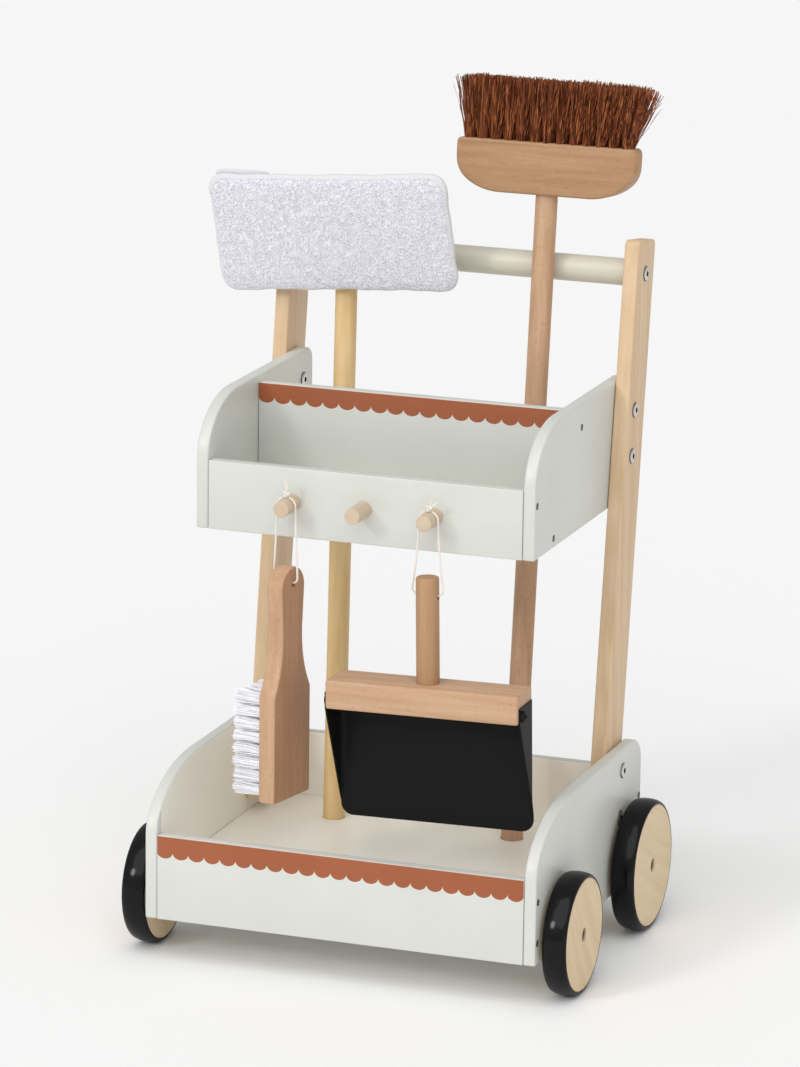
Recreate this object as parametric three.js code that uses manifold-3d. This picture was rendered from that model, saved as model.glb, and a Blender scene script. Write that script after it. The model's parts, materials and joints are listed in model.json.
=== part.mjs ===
import * as THREE from 'three';
import { mergeVertices } from 'three/addons/utils/BufferGeometryUtils.js';
import Module from 'manifold-3d';

// Toy cleaning cart: two painted trays bolted to leaning wooden posts, on four wheels,
// with a mop, a broom, a hand brush and a dustpan.
// Millimetres, +Z up. The front of the cart looks towards -Y.

const wasm = await Module();
wasm.setup();

// Fits
const seat = 0.3; // gap between pieces that rest on each other
const boltPlay = 0.25; // radial gap round a bolt in its hole
const wheelPlay = 0.3; // radial gap of a wheel on its axle
const polePlay = 0.5; // radial gap of a tool pole in its floor socket
const pinPlay = 0.25; // radial gap of the mop's hinge pin
const hangPlay = 0.5; // between a hanging cord and the top of the hole that it carries

// Panels
const panel = 10; // thickness of every painted panel

// Lower tray
const trayWidth = 330; // over the lower side panels
const trayClear = 36; // lower edge above the ground
const lowerDepth = 268;
const lowerSideHeight = 118;
const lowerSideShoulder = 69; // height where the side's front curve starts
const lowerCurveRun = 95; // length of that curve
const lowerRearRound = 22; // radius of the side's rear top corner
const lowerFrontHeight = 70;
const lowerBackHeight = 90;
const lowerFloorRise = 35; // floor top above the tray's lower edge

// Upper tray
const upperTrayZ = 349.5; // lower edge above the ground
const upperFrontY = 49; // front face behind the lower tray's
const upperDepth = 232;
const upperSideHeight = 103;
const upperSideShoulder = 56;
const upperCurveRun = 66;
const upperRearRound = 12;
const upperFrontHeight = 56;
const upperBackHeight = 97;
const upperBackSet = 108; // back panel's front face behind the tray's front
const upperFloorRise = 3; // floor underside above the tray's lower edge

// Posts and handlebar
const postThick = 12.5;
const postDepth = 44;
const postLength = 488.2;
const postLean = 8.27; // degrees, top to the rear
const postFootY = 192.7; // front edge of the foot
const postFootRise = 12; // foot above the lower tray's floor
const postChamfer = 4;
const barHeight = 536; // handlebar axis above the ground
const barRadius = 11;
const barScrewRadius = 2.2;
const barScrewBite = 22; // screw length inside the bar

// Bolts through the posts
const boltRadius = 2.8;
const boltHeadRadius = 4.8;
const boltHeadThick = 1.4;
const boltHeadCrown = 0.8; // dome of a bolt head above its rim
const boltSet = 5; // bolts in front of the post's middle
const upperBoltHeights = [41, 78]; // above the upper tray's lower edge
const lowerBoltHeights = [62, 100.5]; // above the lower tray's lower edge

// Wheels
const wheelGap = 3.2; // between a side panel and its wheels
const wheelWidth = 20;
const tyreThick = 4; // rubber over the wooden disc, at mid width
const tyreCrown = 2.6; // rise of the tread over its shoulders
const frontRadius = 49.5;
const rearRadius = 54.3;
const frontAxleY = 53;
const rearAxleY = 232;
const axleRadius = 4;
const axleThreadRadius = 3.2;
const axleCollarRadius = 8;
const hubRecessRadius = 5.6;
const hubRecessDepth = 5;
const axleHeadPlay = 0.9; // gap round the axle's head in the hub recess
const axleHeadThick = 3.2;

// Pegs
const pegRadius = 6.5;
const pegLength = 27; // in front of the panel
const pegPitch = 59.5;
const pegHeight = 28.7; // axis above the tray's lower edge
const pegWall = 4; // panel left behind a peg's hole
const loopReach = 15; // hanging loops in front of the panel

// Tool poles
const poleRadius = 9;
const poleFootY = 208; // pole axis at the floor's top
const socketWall = 3; // floor left under a pole's socket
const mopX = -82;
const mopSway = -1.57; // degrees, top to the left
const broomX = 74;
const handSink = 14; // pole length inside a head

// Mop
const mopPivotReach = 497; // hinge pin above the floor, along the pole
const mopCapLength = 14; // cap on the pole's end
const mopSpigotRadius = 4.5; // cap's spigot inside the pole
const mopSpigotLength = 18;
const mopTongueWidth = 8;
const mopKnuckleRadius = 7;
const mopPinRadius = 2.4;
const mopPinHead = 1.2; // pin length past the ears
const mopEarThick = 5;
const mopEarHeight = 24; // hinge pin above the plate's back
const mopPlateWidth = 190;
const mopPlateHeight = 92;
const mopPlateThick = 5;
const mopPlateRound = 9;
const mopRoll = -2.8; // degrees, head turned on its plate's normal
const padWidth = 209;
const padHeight = 102.5;
const padThick = 9;
const padShift = -1.5; // pad's middle along the plate
const padRim = 4; // thickness at the bound edge
const padRound = 15;
const padDrawIn = 1.4; // sides pulled in between the corners
const padDrawPower = 6; // higher keeps the pull closer to the rim
const padCrownPower = 4; // higher makes the crown flatter

// Broom
const broomOverBar = 58.8; // head's underside past the handlebar, along the pole
const broomHeadWidth = 155;
const broomHeadHeight = 42.5;
const broomHeadThick = 24;
const broomEnd = 12; // height of the head's ends
const broomCorner = 6; // round of the head's upper corners
const broomSweepRun = 40; // half-moon sweep along the head
const broomTufts = 13;
const broomTuftRows = 3;
const broomTuftMargin = 11.2; // outer tufts inside the head's ends
const broomRowPitch = 6.8;
const broomBristle = 52;
const broomSplayAlong = 1.1;
const broomSplayAcross = 1.5;

// Bristles
const strandRadius = 0.62;
const tuftRing = 1.8; // strands stand on this radius in a tuft
const tuftSpread = 1.7; // growth of a tuft from root to tip
const strandRoot = 0.8; // strand length inside the backing slice
const slice = 2; // thickness of the backing slice
const sliceMargin = 3.2; // slice past the outer tuft centres
const strandTaper = 0.7; // tip over root
const strandRagged = 4; // shortest strand under the longest
const raggedTuftStep = 5; // radians between tufts in the uneven trim
const raggedStrandStep = 3; // radians between strands of a tuft
const broomTuftStrands = 5; // round each tuft's core strand
const brushTuftStrands = 4;

// Hand brush
const brushDrop = 61; // cord in the hanging hole below the peg's axis
const brushTurn = -12; // degrees about the vertical
const brushThick = 15;
const brushWidth = 53;
const brushBelowHole = 176;
const brushAboveHole = 14;
const brushHandleHalf = 17;
const brushNeckHalf = 14.5;
const brushNeckDrop = 38; // neck below the hole
const brushNeckPull = 18; // flare's upright run under the neck
const brushShoulderDrop = 88; // full width below the hole
const brushFlareIn = 10; // flare's slope at the shoulder's corner: inwards
const brushFlareRise = 19; // and upwards
const brushCorner = 3;
const brushRows = 8;
const brushColumns = 4;
const brushRowPitch = 10.6;
const brushColumnPitch = 10.8;
const brushBristle = 29;
const brushBristleFoot = 8; // lowest tuft above the block's end
const hangHole = 2.6; // radius of a hanging hole

// Dustpan
const panDrop = 59.5; // cord in the hanging hole below the peg's axis
const panTilt = -1.2; // degrees, right end higher
const panHandleRadius = 9.25;
const panHandleLength = 86; // above the block
const panHoleDepth = 15.5; // hanging hole below the handle's top
const panHandleRound = 1.5;
const panHandleSink = 12;
const panBlockWidth = 160;
const panBlockDepth = 36;
const panBlockHeight = 23.5;
const panSheet = 1.2;
const panDrape = 96.5; // sheet below the block
const panLipRound = 10;
const panLipRise = 1.5; // side walls end above the lip
const panEar = 13; // sheet overlap on the block
const panEarSet = 3.2; // ear behind the block's front
const panScrewRadius = 1.5;
const panScrewHead = 4.5;
const panScrewThick = 3;
const panScrewBite = 9;
const panScrewRise = 6; // screw above the block's underside
const panScrewSet = 7.7; // screw behind the block's front

// Hanging loops, as offsets from the peg's axis
const cordRadius = 0.9;
const knotRadius = 2.8;
const brushLoop = [
  [-2.63, 0, 7.24], [-4.95, 0, 5.9], [-6.67, 0, 3.85], [-7.56, 0, 1.45], [-7.75, 0, -1.5],
  [-8.1, 0.3, -11], [-8.8, 0.8, -24], [-9.6, 1.4, -38], [-10.4, 2, -50], [-10.75, 2.3, -56.8],
  [-10.45, 2.2, -58.4], [-9.55, 2.05, -59.8], [-8.2, 1.75, -60.7], [-6.65, 1.4, -61], [-3, 0.65, -61],
  [0, 0, -61],
  [3, -0.65, -61], [6.65, -1.4, -61], [8.2, -1.75, -60.7], [9.55, -2.05, -59.8], [10.45, -2.2, -58.4],
  [10.75, -2.3, -56.8], [10.4, -2, -50], [9.6, -1.4, -38], [8.8, -0.8, -24], [8.1, -0.3, -11],
  [7.75, 0, -1.5], [7.56, 0, 1.45], [6.67, 0, 3.85], [4.95, 0, 5.9], [2.63, 0, 7.24],
];
const panLoop = [
  [-2.63, 0, 7.24], [-4.95, 0, 5.9], [-6.67, 0, 3.85], [-7.56, 0, 1.45], [-7.75, 0, -1.5],
  [-8.3, 0, -12], [-9.2, 0, -24], [-10.3, 0, -35], [-11.6, 0, -45], [-12.9, 0, -55.3],
  [-12.58, 0, -56.91], [-11.67, 0, -58.27], [-10.31, 0, -59.18], [-8.7, 0, -59.5], [-4, 0, -59.5],
  [0, 0, -59.5],
  [4, 0, -59.5], [8.7, 0, -59.5], [10.31, 0, -59.18], [11.67, 0, -58.27], [12.58, 0, -56.91],
  [12.9, 0, -55.3], [11.6, 0, -45], [10.3, 0, -35], [9.2, 0, -24], [8.3, 0, -12],
  [7.75, 0, -1.5], [7.56, 0, 1.45], [6.67, 0, 3.85], [4.95, 0, 5.9], [2.63, 0, 7.24],
];

// Facets
const wheelSides = 32;
const dowelSides = 20;
const holeSides = 12;
const boltSides = 10;
const cordSides = 8;
const cordSteps = 44;
const treadSteps = 4;
const curveSteps = 7;
const padRimPoints = 48;
const padRings = 6;
const knotDetail = 1;

// Places worked out from the sizes above
const halfTray = trayWidth / 2;
const innerHalf = halfTray - panel;
const lowerFloorTop = trayClear + lowerFloorRise;
const postOuter = innerHalf - seat;
const postInner = postOuter - postThick;
const upperHalf = postInner - seat;
const upperInner = upperHalf - panel;
const lean = THREE.MathUtils.degToRad(postLean);
const postFootZ = lowerFloorTop + postFootRise;
const pegZ = upperTrayZ + pegHeight;
const loopY = upperFrontY - loopReach;
const pegXs = [-pegPitch, 0, pegPitch];
const poleSocket = panel - socketWall;
const hangDrop = hangHole - cordRadius - hangPlay; // hole's axis below the cord's

// A point of a post at a height, some way in front of its middle:
// its depth in the cart and its place on the post
function postPlace(height, set = 0) {
  const across = postDepth / 2 - set;
  const along = (height - postFootZ + across * Math.sin(lean)) / Math.cos(lean);
  const y = postFootY + across * Math.cos(lean) + along * Math.sin(lean);
  return { y, z: height, along, across };
}

// The tool poles lean back until they rest on the handlebar
const barY = postPlace(barHeight).y;
const poleRun = Math.hypot(barY - poleFootY, barHeight - lowerFloorTop);
const poleOff = Math.asin((barRadius + poleRadius + seat) / poleRun);
const poleLean = Math.atan2(barY - poleFootY, barHeight - lowerFloorTop) - poleOff;
const broomHeadReach = poleRun * Math.cos(poleOff) + broomOverBar;
const broomTuftPitch = (broomHeadWidth - 2 * broomTuftMargin) / (broomTufts - 1);

// Finishes
const finish = (color, roughness, metalness = 0) =>
  new THREE.MeshStandardMaterial({ color, roughness, metalness });
const paint = finish(0xdcdcd3, 0.5);
const beech = finish(0xd9b48a, 0.6);
const pine = finish(0xe3c79a, 0.6);
const rubber = finish(0x17181a, 0.45);
const steel = finish(0xb9bbbd, 0.3, 1);
const blackSteel = finish(0x1b1b1c, 0.45, 0.6);
const greyPlastic = finish(0x9a9c9d, 0.5);
const terry = finish(0xf2f2f2, 0.95);
const coir = finish(0x7a4024, 0.85);
const nylon = finish(0xf4f4f8, 0.6);
const cotton = finish(0xe9dfcb, 0.9);

// Solids

// One closed skin with shared corners, no slivers and its faces outwards
function closed(geometry) {
  const bare = new THREE.BufferGeometry();
  bare.setAttribute('position', geometry.getAttribute('position').clone());
  if (geometry.index) bare.setIndex(geometry.index.clone());
  const welded = mergeVertices(bare);
  const position = welded.getAttribute('position');
  const corner = [0, 1, 2].map(() => new THREE.Vector3());
  const kept = [];
  let volume = 0;
  for (let i = 0; i < welded.index.count; i += 3) {
    const face = [0, 1, 2].map((k) => welded.index.getX(i + k));
    if (new Set(face).size < face.length) continue;
    face.forEach((vertex, k) => corner[k].fromBufferAttribute(position, vertex));
    volume += corner[0].dot(corner[1].clone().cross(corner[2]));
    kept.push(face);
  }
  if (volume < 0) kept.forEach((face) => face.reverse());
  welded.setIndex(kept.flat());
  return welded;
}

function toSolid(geometry) {
  const skin = closed(geometry);
  const vertProperties = new Float32Array(skin.getAttribute('position').array);
  const triVerts = new Uint32Array(skin.index.array);
  return new wasm.Manifold(new wasm.Mesh({ numProp: 3, vertProperties, triVerts }));
}

function toGeometry(solid) {
  const mesh = solid.getMesh();
  const geometry = new THREE.BufferGeometry();
  geometry.setAttribute('position', new THREE.BufferAttribute(mesh.vertProperties, mesh.numProp));
  geometry.setIndex(new THREE.BufferAttribute(mesh.triVerts, 1));
  return geometry;
}

function cut(geometry, tools) {
  const solid = tools.reduce((left, tool) => left.subtract(toSolid(tool)), toSolid(geometry));
  return toGeometry(solid);
}

function join(geometries) {
  const [first, ...rest] = geometries.map(toSolid);
  return toGeometry(rest.reduce((whole, solid) => whole.add(solid), first));
}

// Block between two corners
function block([x0, y0, z0], [x1, y1, z1]) {
  const geometry = new THREE.BoxGeometry(x1 - x0, y1 - y0, z1 - z0);
  return geometry.translate((x0 + x1) / 2, (y0 + y1) / 2, (z0 + z1) / 2);
}

// Round bar from one place to another along an axis, through the given point of the other two
function rod(axis, from, to, radius, sides, at = [0, 0, 0]) {
  const geometry = new THREE.CylinderGeometry(radius, radius, to - from, sides);
  if (axis === 'x') geometry.rotateZ(-Math.PI / 2);
  if (axis === 'z') geometry.rotateX(Math.PI / 2);
  const middle = new THREE.Vector3(...at);
  middle[axis] = (from + to) / 2;
  return geometry.translate(middle.x, middle.y, middle.z);
}

// Turned piece: points of [radius, place along the axis]
function turned(axis, points, sides) {
  const profile = points.map(([radius, along]) => new THREE.Vector2(radius, along));
  const geometry = new THREE.LatheGeometry(profile, sides);
  if (axis === 'x') geometry.rotateZ(-Math.PI / 2);
  if (axis === 'z') geometry.rotateX(Math.PI / 2);
  return geometry;
}

// Outline in the cart's Y and Z, with its thickness along X
function sawnAcross(shape, x0, x1) {
  const geometry = new THREE.ExtrudeGeometry(shape, {
    depth: x1 - x0,
    bevelEnabled: false,
    curveSegments: curveSteps,
  });
  const turn = new THREE.Matrix4().makeBasis(
    new THREE.Vector3(0, 1, 0),
    new THREE.Vector3(0, 0, 1),
    new THREE.Vector3(1, 0, 0),
  );
  return geometry.applyMatrix4(turn).translate(x0, 0, 0);
}

// Outline in X and Z, with its thickness along Y
function sawnAlong(shape, y0, y1) {
  const geometry = new THREE.ExtrudeGeometry(shape, {
    depth: y1 - y0,
    bevelEnabled: false,
    curveSegments: curveSteps,
  });
  const turn = new THREE.Matrix4().makeBasis(
    new THREE.Vector3(1, 0, 0),
    new THREE.Vector3(0, 0, 1),
    new THREE.Vector3(0, -1, 0),
  );
  return geometry.applyMatrix4(turn).translate(0, y1, 0);
}

function polygon(points) {
  return new THREE.Shape(points.map(([x, y]) => new THREE.Vector2(x, y)));
}

function roundedRectangle(width, height, radius) {
  const x = width / 2;
  const y = height / 2;
  const shape = new THREE.Shape();
  shape.moveTo(-x + radius, -y);
  shape.lineTo(x - radius, -y);
  shape.absarc(x - radius, -y + radius, radius, -Math.PI / 2, 0);
  shape.lineTo(x, y - radius);
  shape.absarc(x - radius, y - radius, radius, 0, Math.PI / 2);
  shape.lineTo(-x + radius, y);
  shape.absarc(-x + radius, y - radius, radius, Math.PI / 2, Math.PI);
  shape.lineTo(-x, -y + radius);
  shape.absarc(-x + radius, -y + radius, radius, Math.PI, Math.PI * 1.5);
  return shape;
}

const cart = new THREE.Group();

function add(parent, name, geometry, material) {
  const mesh = new THREE.Mesh(closed(geometry), material);
  mesh.name = name;
  parent.add(mesh);
  return mesh;
}

const sides = [
  { name: 'left', sign: -1 },
  { name: 'right', sign: 1 },
];

// A piece made for the right side, turned about the vertical for the left
function sided(geometry, sign) {
  return sign > 0 ? geometry : geometry.rotateZ(Math.PI);
}

// Trays

// Side panel: upright front edge, a curve up to the top edge and a round rear corner
function sideOutline(depth, height, shoulder, run, round) {
  const shape = new THREE.Shape();
  shape.moveTo(0, 0);
  shape.lineTo(depth, 0);
  shape.lineTo(depth, height - round);
  shape.absarc(depth - round, height - round, round, 0, Math.PI / 2);
  shape.lineTo(run, height);
  shape.absellipse(run, shoulder, run, height - shoulder, Math.PI / 2, Math.PI);
  return shape;
}

const lowerBolts = lowerBoltHeights.map((height) => postPlace(trayClear + height, boltSet));
const upperBolts = upperBoltHeights.map((height) => postPlace(upperTrayZ + height, boltSet));
const axles = [
  { name: 'front', y: frontAxleY, radius: frontRadius },
  { name: 'rear', y: rearAxleY, radius: rearRadius },
];

function holesAcross(centres, radius, x0, x1) {
  return centres.map(({ y, z }) => rod('x', x0 - panel, x1 + panel, radius, holeSides, [0, y, z]));
}

function addLowerTray() {
  const outline = sideOutline(
    lowerDepth, lowerSideHeight, lowerSideShoulder, lowerCurveRun, lowerRearRound);
  const axleCentres = axles.map(({ y, radius }) => ({ y, z: radius }));
  for (const { name, sign } of sides) {
    const [x0, x1] = sign > 0 ? [innerHalf, halfTray] : [-halfTray, -innerHalf];
    const blank = sawnAcross(outline, x0, x1).translate(0, 0, trayClear);
    const holes = [
      ...holesAcross(lowerBolts, boltRadius + boltPlay, x0, x1),
      ...holesAcross(axleCentres, axleThreadRadius + boltPlay, x0, x1),
    ];
    add(cart, `lower_side_${name}`, cut(blank, holes), paint);
  }

  const half = innerHalf - seat;
  const front = block([-half, 0, trayClear], [half, panel, trayClear + lowerFrontHeight]);
  add(cart, 'lower_front_panel', front, paint);

  const backY = lowerDepth - panel;
  const back = block([-half, backY, trayClear], [half, lowerDepth, trayClear + lowerBackHeight]);
  add(cart, 'lower_back_panel', back, paint);

  const floor = block([-half, panel + seat, lowerFloorTop - panel], [half, backY - seat, lowerFloorTop]);
  const sockets = [mopFrame(), broomFrame()].map((frame) => {
    const socket = rod('z', -poleSocket - seat, panel, poleRadius + polePlay, dowelSides);
    frame.updateMatrix();
    return socket.applyMatrix4(frame.matrix);
  });
  add(cart, 'lower_floor', cut(floor, sockets), paint);
}

function addUpperTray() {
  const outline = sideOutline(
    upperDepth, upperSideHeight, upperSideShoulder, upperCurveRun, upperRearRound);
  for (const { name, sign } of sides) {
    const [x0, x1] = sign > 0 ? [upperInner, upperHalf] : [-upperHalf, -upperInner];
    const blank = sawnAcross(outline, x0, x1).translate(0, upperFrontY, upperTrayZ);
    const holes = holesAcross(upperBolts, boltRadius + boltPlay, x0, x1);
    add(cart, `upper_side_${name}`, cut(blank, holes), paint);
  }

  const half = upperInner - seat;
  const frontEnd = upperFrontY + panel;
  const backY = upperFrontY + upperBackSet;
  const front = block(
    [-half, upperFrontY, upperTrayZ], [half, frontEnd, upperTrayZ + upperFrontHeight]);
  const pegHoles = pegXs.map((x) =>
    rod('y', upperFrontY - pegLength, frontEnd - pegWall, pegRadius + seat, dowelSides, [x, 0, pegZ]));
  add(cart, 'upper_front_panel', cut(front, pegHoles), paint);

  const back = block([-half, backY, upperTrayZ], [half, backY + panel, upperTrayZ + upperBackHeight]);
  add(cart, 'upper_back_panel', back, paint);

  const floorZ = upperTrayZ + upperFloorRise;
  const floor = block([-half, frontEnd + seat, floorZ], [half, backY - seat, floorZ + panel]);
  add(cart, 'upper_floor', floor, paint);

  ['left', 'middle', 'right'].forEach((name, i) => {
    const end = frontEnd - pegWall - seat;
    const place = [pegXs[i], 0, pegZ];
    const peg = rod('y', upperFrontY - pegLength, end, pegRadius, dowelSides, place);
    add(cart, `peg_${name}`, peg, beech);
  });
}

// Posts, handlebar and their bolts

function addPosts() {
  const foot = postDepth * Math.tan(lean);
  const outline = polygon([
    [0, 0],
    [postDepth, foot],
    [postDepth, postLength - postChamfer],
    [postDepth - postChamfer, postLength],
    [postChamfer, postLength],
    [0, postLength - postChamfer],
  ]);
  const bar = postPlace(barHeight);
  const holeAt = ({ across, along }, radius) =>
    rod('x', -postThick, postThick * 2, radius, holeSides, [0, across, along]);
  const holes = [...lowerBolts, ...upperBolts].map((place) => holeAt(place, boltRadius + boltPlay));
  holes.push(holeAt(bar, barScrewRadius + boltPlay));
  const post = cut(sawnAcross(outline, 0, postThick), holes);
  for (const { name, sign } of sides) {
    const mesh = add(cart, `post_${name}`, post, pine);
    mesh.position.set(sign > 0 ? postInner : -postOuter, postFootY, postFootZ);
    mesh.rotation.x = -lean;
  }

  const barEnd = postInner - seat;
  const bore = barScrewRadius + boltPlay;
  const bites = sides.map(({ sign }) => {
    const bite = rod('x', barEnd - barScrewBite - seat, barEnd + seat, bore, holeSides);
    return sided(bite, sign).translate(0, bar.y, bar.z);
  });
  const grip = rod('x', -barEnd, barEnd, barRadius, dowelSides, [0, bar.y, bar.z]);
  add(cart, 'handlebar', cut(grip, bites), paint);
}

// Domed head outside a face, a shank inwards and, where it goes right through, a flanged end
function boltProfile(face, shank, radius, farFace) {
  const head = face + seat + boltHeadThick;
  const points = [
    [0, head],
    [boltHeadRadius / 2, head - boltHeadCrown / 4],
    [boltHeadRadius, head - boltHeadCrown],
    [boltHeadRadius, face + seat],
    [radius, face + seat],
  ];
  if (farFace === undefined) return [...points, [radius, face - shank], [0, face - shank]];
  const end = farFace - seat - boltHeadThick;
  return [
    ...points,
    [radius, farFace - seat],
    [boltHeadRadius, farFace - seat],
    [boltHeadRadius, end + boltHeadCrown],
    [0, end],
  ];
}

function addBolts() {
  const joints = [
    { name: 'lower', places: lowerBolts, face: halfTray, farFace: postInner },
    { name: 'upper', places: upperBolts, face: postOuter, farFace: upperInner },
  ];
  for (const { name: side, sign } of sides) {
    for (const { name, places, face, farFace } of joints) {
      places.forEach(({ y, z }, i) => {
        const bolt = turned('x', boltProfile(face, 0, boltRadius, farFace), boltSides);
        add(cart, `${name}_bolt_${side}_${i + 1}`, sided(bolt, sign), steel).position.set(0, y, z);
      });
    }
    const { y, z } = postPlace(barHeight);
    const bite = postThick + seat + barScrewBite;
    const screw = turned('x', boltProfile(postOuter, bite, barScrewRadius), boltSides);
    add(cart, `bar_screw_${side}`, sided(screw, sign), steel).position.set(0, y, z);
  }
}

// Wheels: a wooden disc, a rubber tyre and a shoulder bolt that carries them

function tyreProfile(radius, inner) {
  const shoulder = radius - tyreCrown;
  const tread = Array.from({ length: treadSteps + 1 }, (_, i) => {
    const angle = (Math.PI * i) / treadSteps;
    return [shoulder + tyreCrown * Math.sin(angle), (wheelWidth / 2) * (1 - Math.cos(angle))];
  });
  return [[inner, 0], ...tread, [inner, wheelWidth], [inner, 0]];
}

function addWheels() {
  const wheelX = halfTray + wheelGap;
  const bore = axleRadius + wheelPlay;
  const recess = wheelWidth - hubRecessDepth;
  const headRadius = hubRecessRadius - axleHeadPlay;
  const headStart = wheelX + recess + seat;
  const axleProfile = [
    [0, innerHalf],
    [axleThreadRadius, innerHalf],
    [axleThreadRadius, halfTray + seat],
    [axleCollarRadius, halfTray + seat],
    [axleCollarRadius, wheelX - seat],
    [axleRadius, wheelX - seat],
    [axleRadius, headStart],
    [headRadius, headStart],
    [headRadius, headStart + axleHeadThick],
    [0, headStart + axleHeadThick],
  ];
  for (const { name: end, y, radius } of axles) {
    const discRadius = radius - tyreThick;
    const discProfile = [
      [bore, 0],
      [discRadius, 0],
      [discRadius, wheelWidth],
      [hubRecessRadius, wheelWidth],
      [hubRecessRadius, recess],
      [bore, recess],
      [bore, 0],
    ];
    for (const { name: side, sign } of sides) {
      const place = `${end}_${side}`;
      const disc = turned('x', discProfile, wheelSides);
      const tyre = turned('x', tyreProfile(radius, discRadius + seat), wheelSides);
      const axle = turned('x', axleProfile, holeSides);
      add(cart, `wheel_${place}`, sided(disc, sign), beech).position.set(sign * wheelX, y, radius);
      add(cart, `tyre_${place}`, sided(tyre, sign), rubber).position.set(sign * wheelX, y, radius);
      add(cart, `axle_${place}`, sided(axle, sign), steel).position.set(0, y, radius);
    }
  }
}

// Mop and broom stand in floor sockets; each frame's Z runs up the pole from the floor's top

function poleFrame(x, sway) {
  const frame = new THREE.Group();
  frame.position.set(x, poleFootY, lowerFloorTop);
  frame.rotation.set(-poleLean, THREE.MathUtils.degToRad(sway), 0, 'YXZ');
  return frame;
}

function mopFrame() {
  return poleFrame(mopX, mopSway);
}

function broomFrame() {
  return poleFrame(broomX, 0);
}

// Terry pad: flat back, bound rim, crowned front and sides drawn in between the corners
function padGeometry() {
  const rim = roundedRectangle(padWidth, padHeight, padRound).getSpacedPoints(padRimPoints);
  rim.pop();
  const drawn = rim.map(({ x, y }) => {
    const pullX = padDrawIn * (1 - ((2 * y) / padHeight) ** 2);
    const pullY = padDrawIn * (1 - ((2 * x) / padWidth) ** 2);
    const across = (2 * Math.abs(x)) / padWidth;
    const up = (2 * Math.abs(y)) / padHeight;
    return [
      x - Math.sign(x) * pullX * across ** padDrawPower,
      y - Math.sign(y) * pullY * up ** padDrawPower,
    ];
  });
  const rings = [{ scale: 1, y: 0 }, { scale: 1, y: -padRim }];
  for (let i = 1; i < padRings; i += 1) {
    const scale = 1 - i / padRings;
    const rise = (padThick - padRim) * (1 - scale ** padCrownPower);
    rings.push({ scale, y: -padRim - rise });
  }
  const points = rings.flatMap(({ scale, y }) => drawn.map(([x, z]) => [x * scale, y, z * scale]));
  const backMiddle = points.push([0, 0, 0]) - 1;
  const frontMiddle = points.push([0, -padThick, 0]) - 1;
  const count = drawn.length;
  const faces = [];
  for (let i = 0; i < count; i += 1) {
    const next = (i + 1) % count;
    faces.push(backMiddle, next, i);
    for (let ring = 0; ring + 1 < rings.length; ring += 1) {
      const low = ring * count;
      const high = low + count;
      faces.push(low + i, low + next, high + next, low + i, high + next, high + i);
    }
    const last = (rings.length - 1) * count;
    faces.push(last + i, last + next, frontMiddle);
  }
  const geometry = new THREE.BufferGeometry();
  geometry.setAttribute('position', new THREE.Float32BufferAttribute(points.flat(), 3));
  geometry.setIndex(faces);
  return geometry;
}

// The head tips forward until the plate's lower edge rests against the pole
function mopTilt() {
  const edge = mopPlateHeight / 2;
  const reach = Math.hypot(mopEarHeight, edge);
  return Math.acos((poleRadius + seat) / reach) - Math.atan2(edge, mopEarHeight);
}

function addMop() {
  const frame = mopFrame();
  cart.add(frame);
  const tilt = mopTilt();
  const earDip = poleRadius * Math.tan(tilt) + mopKnuckleRadius / Math.cos(tilt);
  const capTop = mopPivotReach - earDip - seat;
  const poleTop = capTop - mopCapLength;
  const spigotFoot = poleTop - mopSpigotLength;
  const pole = cut(
    rod('z', -poleSocket, poleTop, poleRadius, dowelSides),
    [rod('z', spigotFoot - seat, poleTop + seat, mopSpigotRadius + seat, holeSides)],
  );
  add(frame, 'mop_pole', pole, pine);

  const tongueHalf = mopTongueWidth / 2;
  const cap = join([
    rod('z', spigotFoot, capTop, mopSpigotRadius, holeSides),
    rod('z', poleTop + seat, capTop, poleRadius, dowelSides),
    block([-tongueHalf, -mopKnuckleRadius, capTop - seat], [tongueHalf, mopKnuckleRadius, mopPivotReach]),
    rod('x', -tongueHalf, tongueHalf, mopKnuckleRadius, dowelSides, [0, 0, mopPivotReach]),
  ]);
  const bore = mopPinRadius + pinPlay;
  const capHole = rod('x', -mopTongueWidth, mopTongueWidth, bore, holeSides, [0, 0, mopPivotReach]);
  add(frame, 'mop_cap', cut(cap, [capHole]), greyPlastic);

  const head = new THREE.Group();
  head.position.z = mopPivotReach;
  head.rotation.x = tilt;
  frame.add(head);
  const earInner = tongueHalf + seat;
  const earOuter = earInner + mopEarThick;
  const pinEnd = earOuter + mopPinHead;
  add(head, 'mop_hinge_pin', rod('x', -pinEnd, pinEnd, mopPinRadius, holeSides), steel);

  const rolled = new THREE.Matrix4().makeRotationY(THREE.MathUtils.degToRad(mopRoll));
  const plateBack = -mopEarHeight;
  const plateFront = plateBack - mopPlateThick;
  const plateShape = roundedRectangle(mopPlateWidth, mopPlateHeight, mopPlateRound);
  const board = sawnAlong(plateShape, plateFront, plateBack).applyMatrix4(rolled);
  const ears = sides.map(({ sign }) => {
    const [x0, x1] = sign > 0 ? [earInner, earOuter] : [-earOuter, -earInner];
    return join([
      block([x0, plateBack - seat, -mopKnuckleRadius], [x1, 0, mopKnuckleRadius]),
      rod('x', x0, x1, mopKnuckleRadius, dowelSides),
    ]);
  });
  const earHole = rod('x', -pinEnd, pinEnd, bore, holeSides);
  add(head, 'mop_plate', cut(join([board, ...ears]), [earHole]), greyPlastic);

  const pad = padGeometry().translate(padShift, plateFront - seat, 0).applyMatrix4(rolled);
  add(head, 'mop_pad', pad, terry);
}

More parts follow.
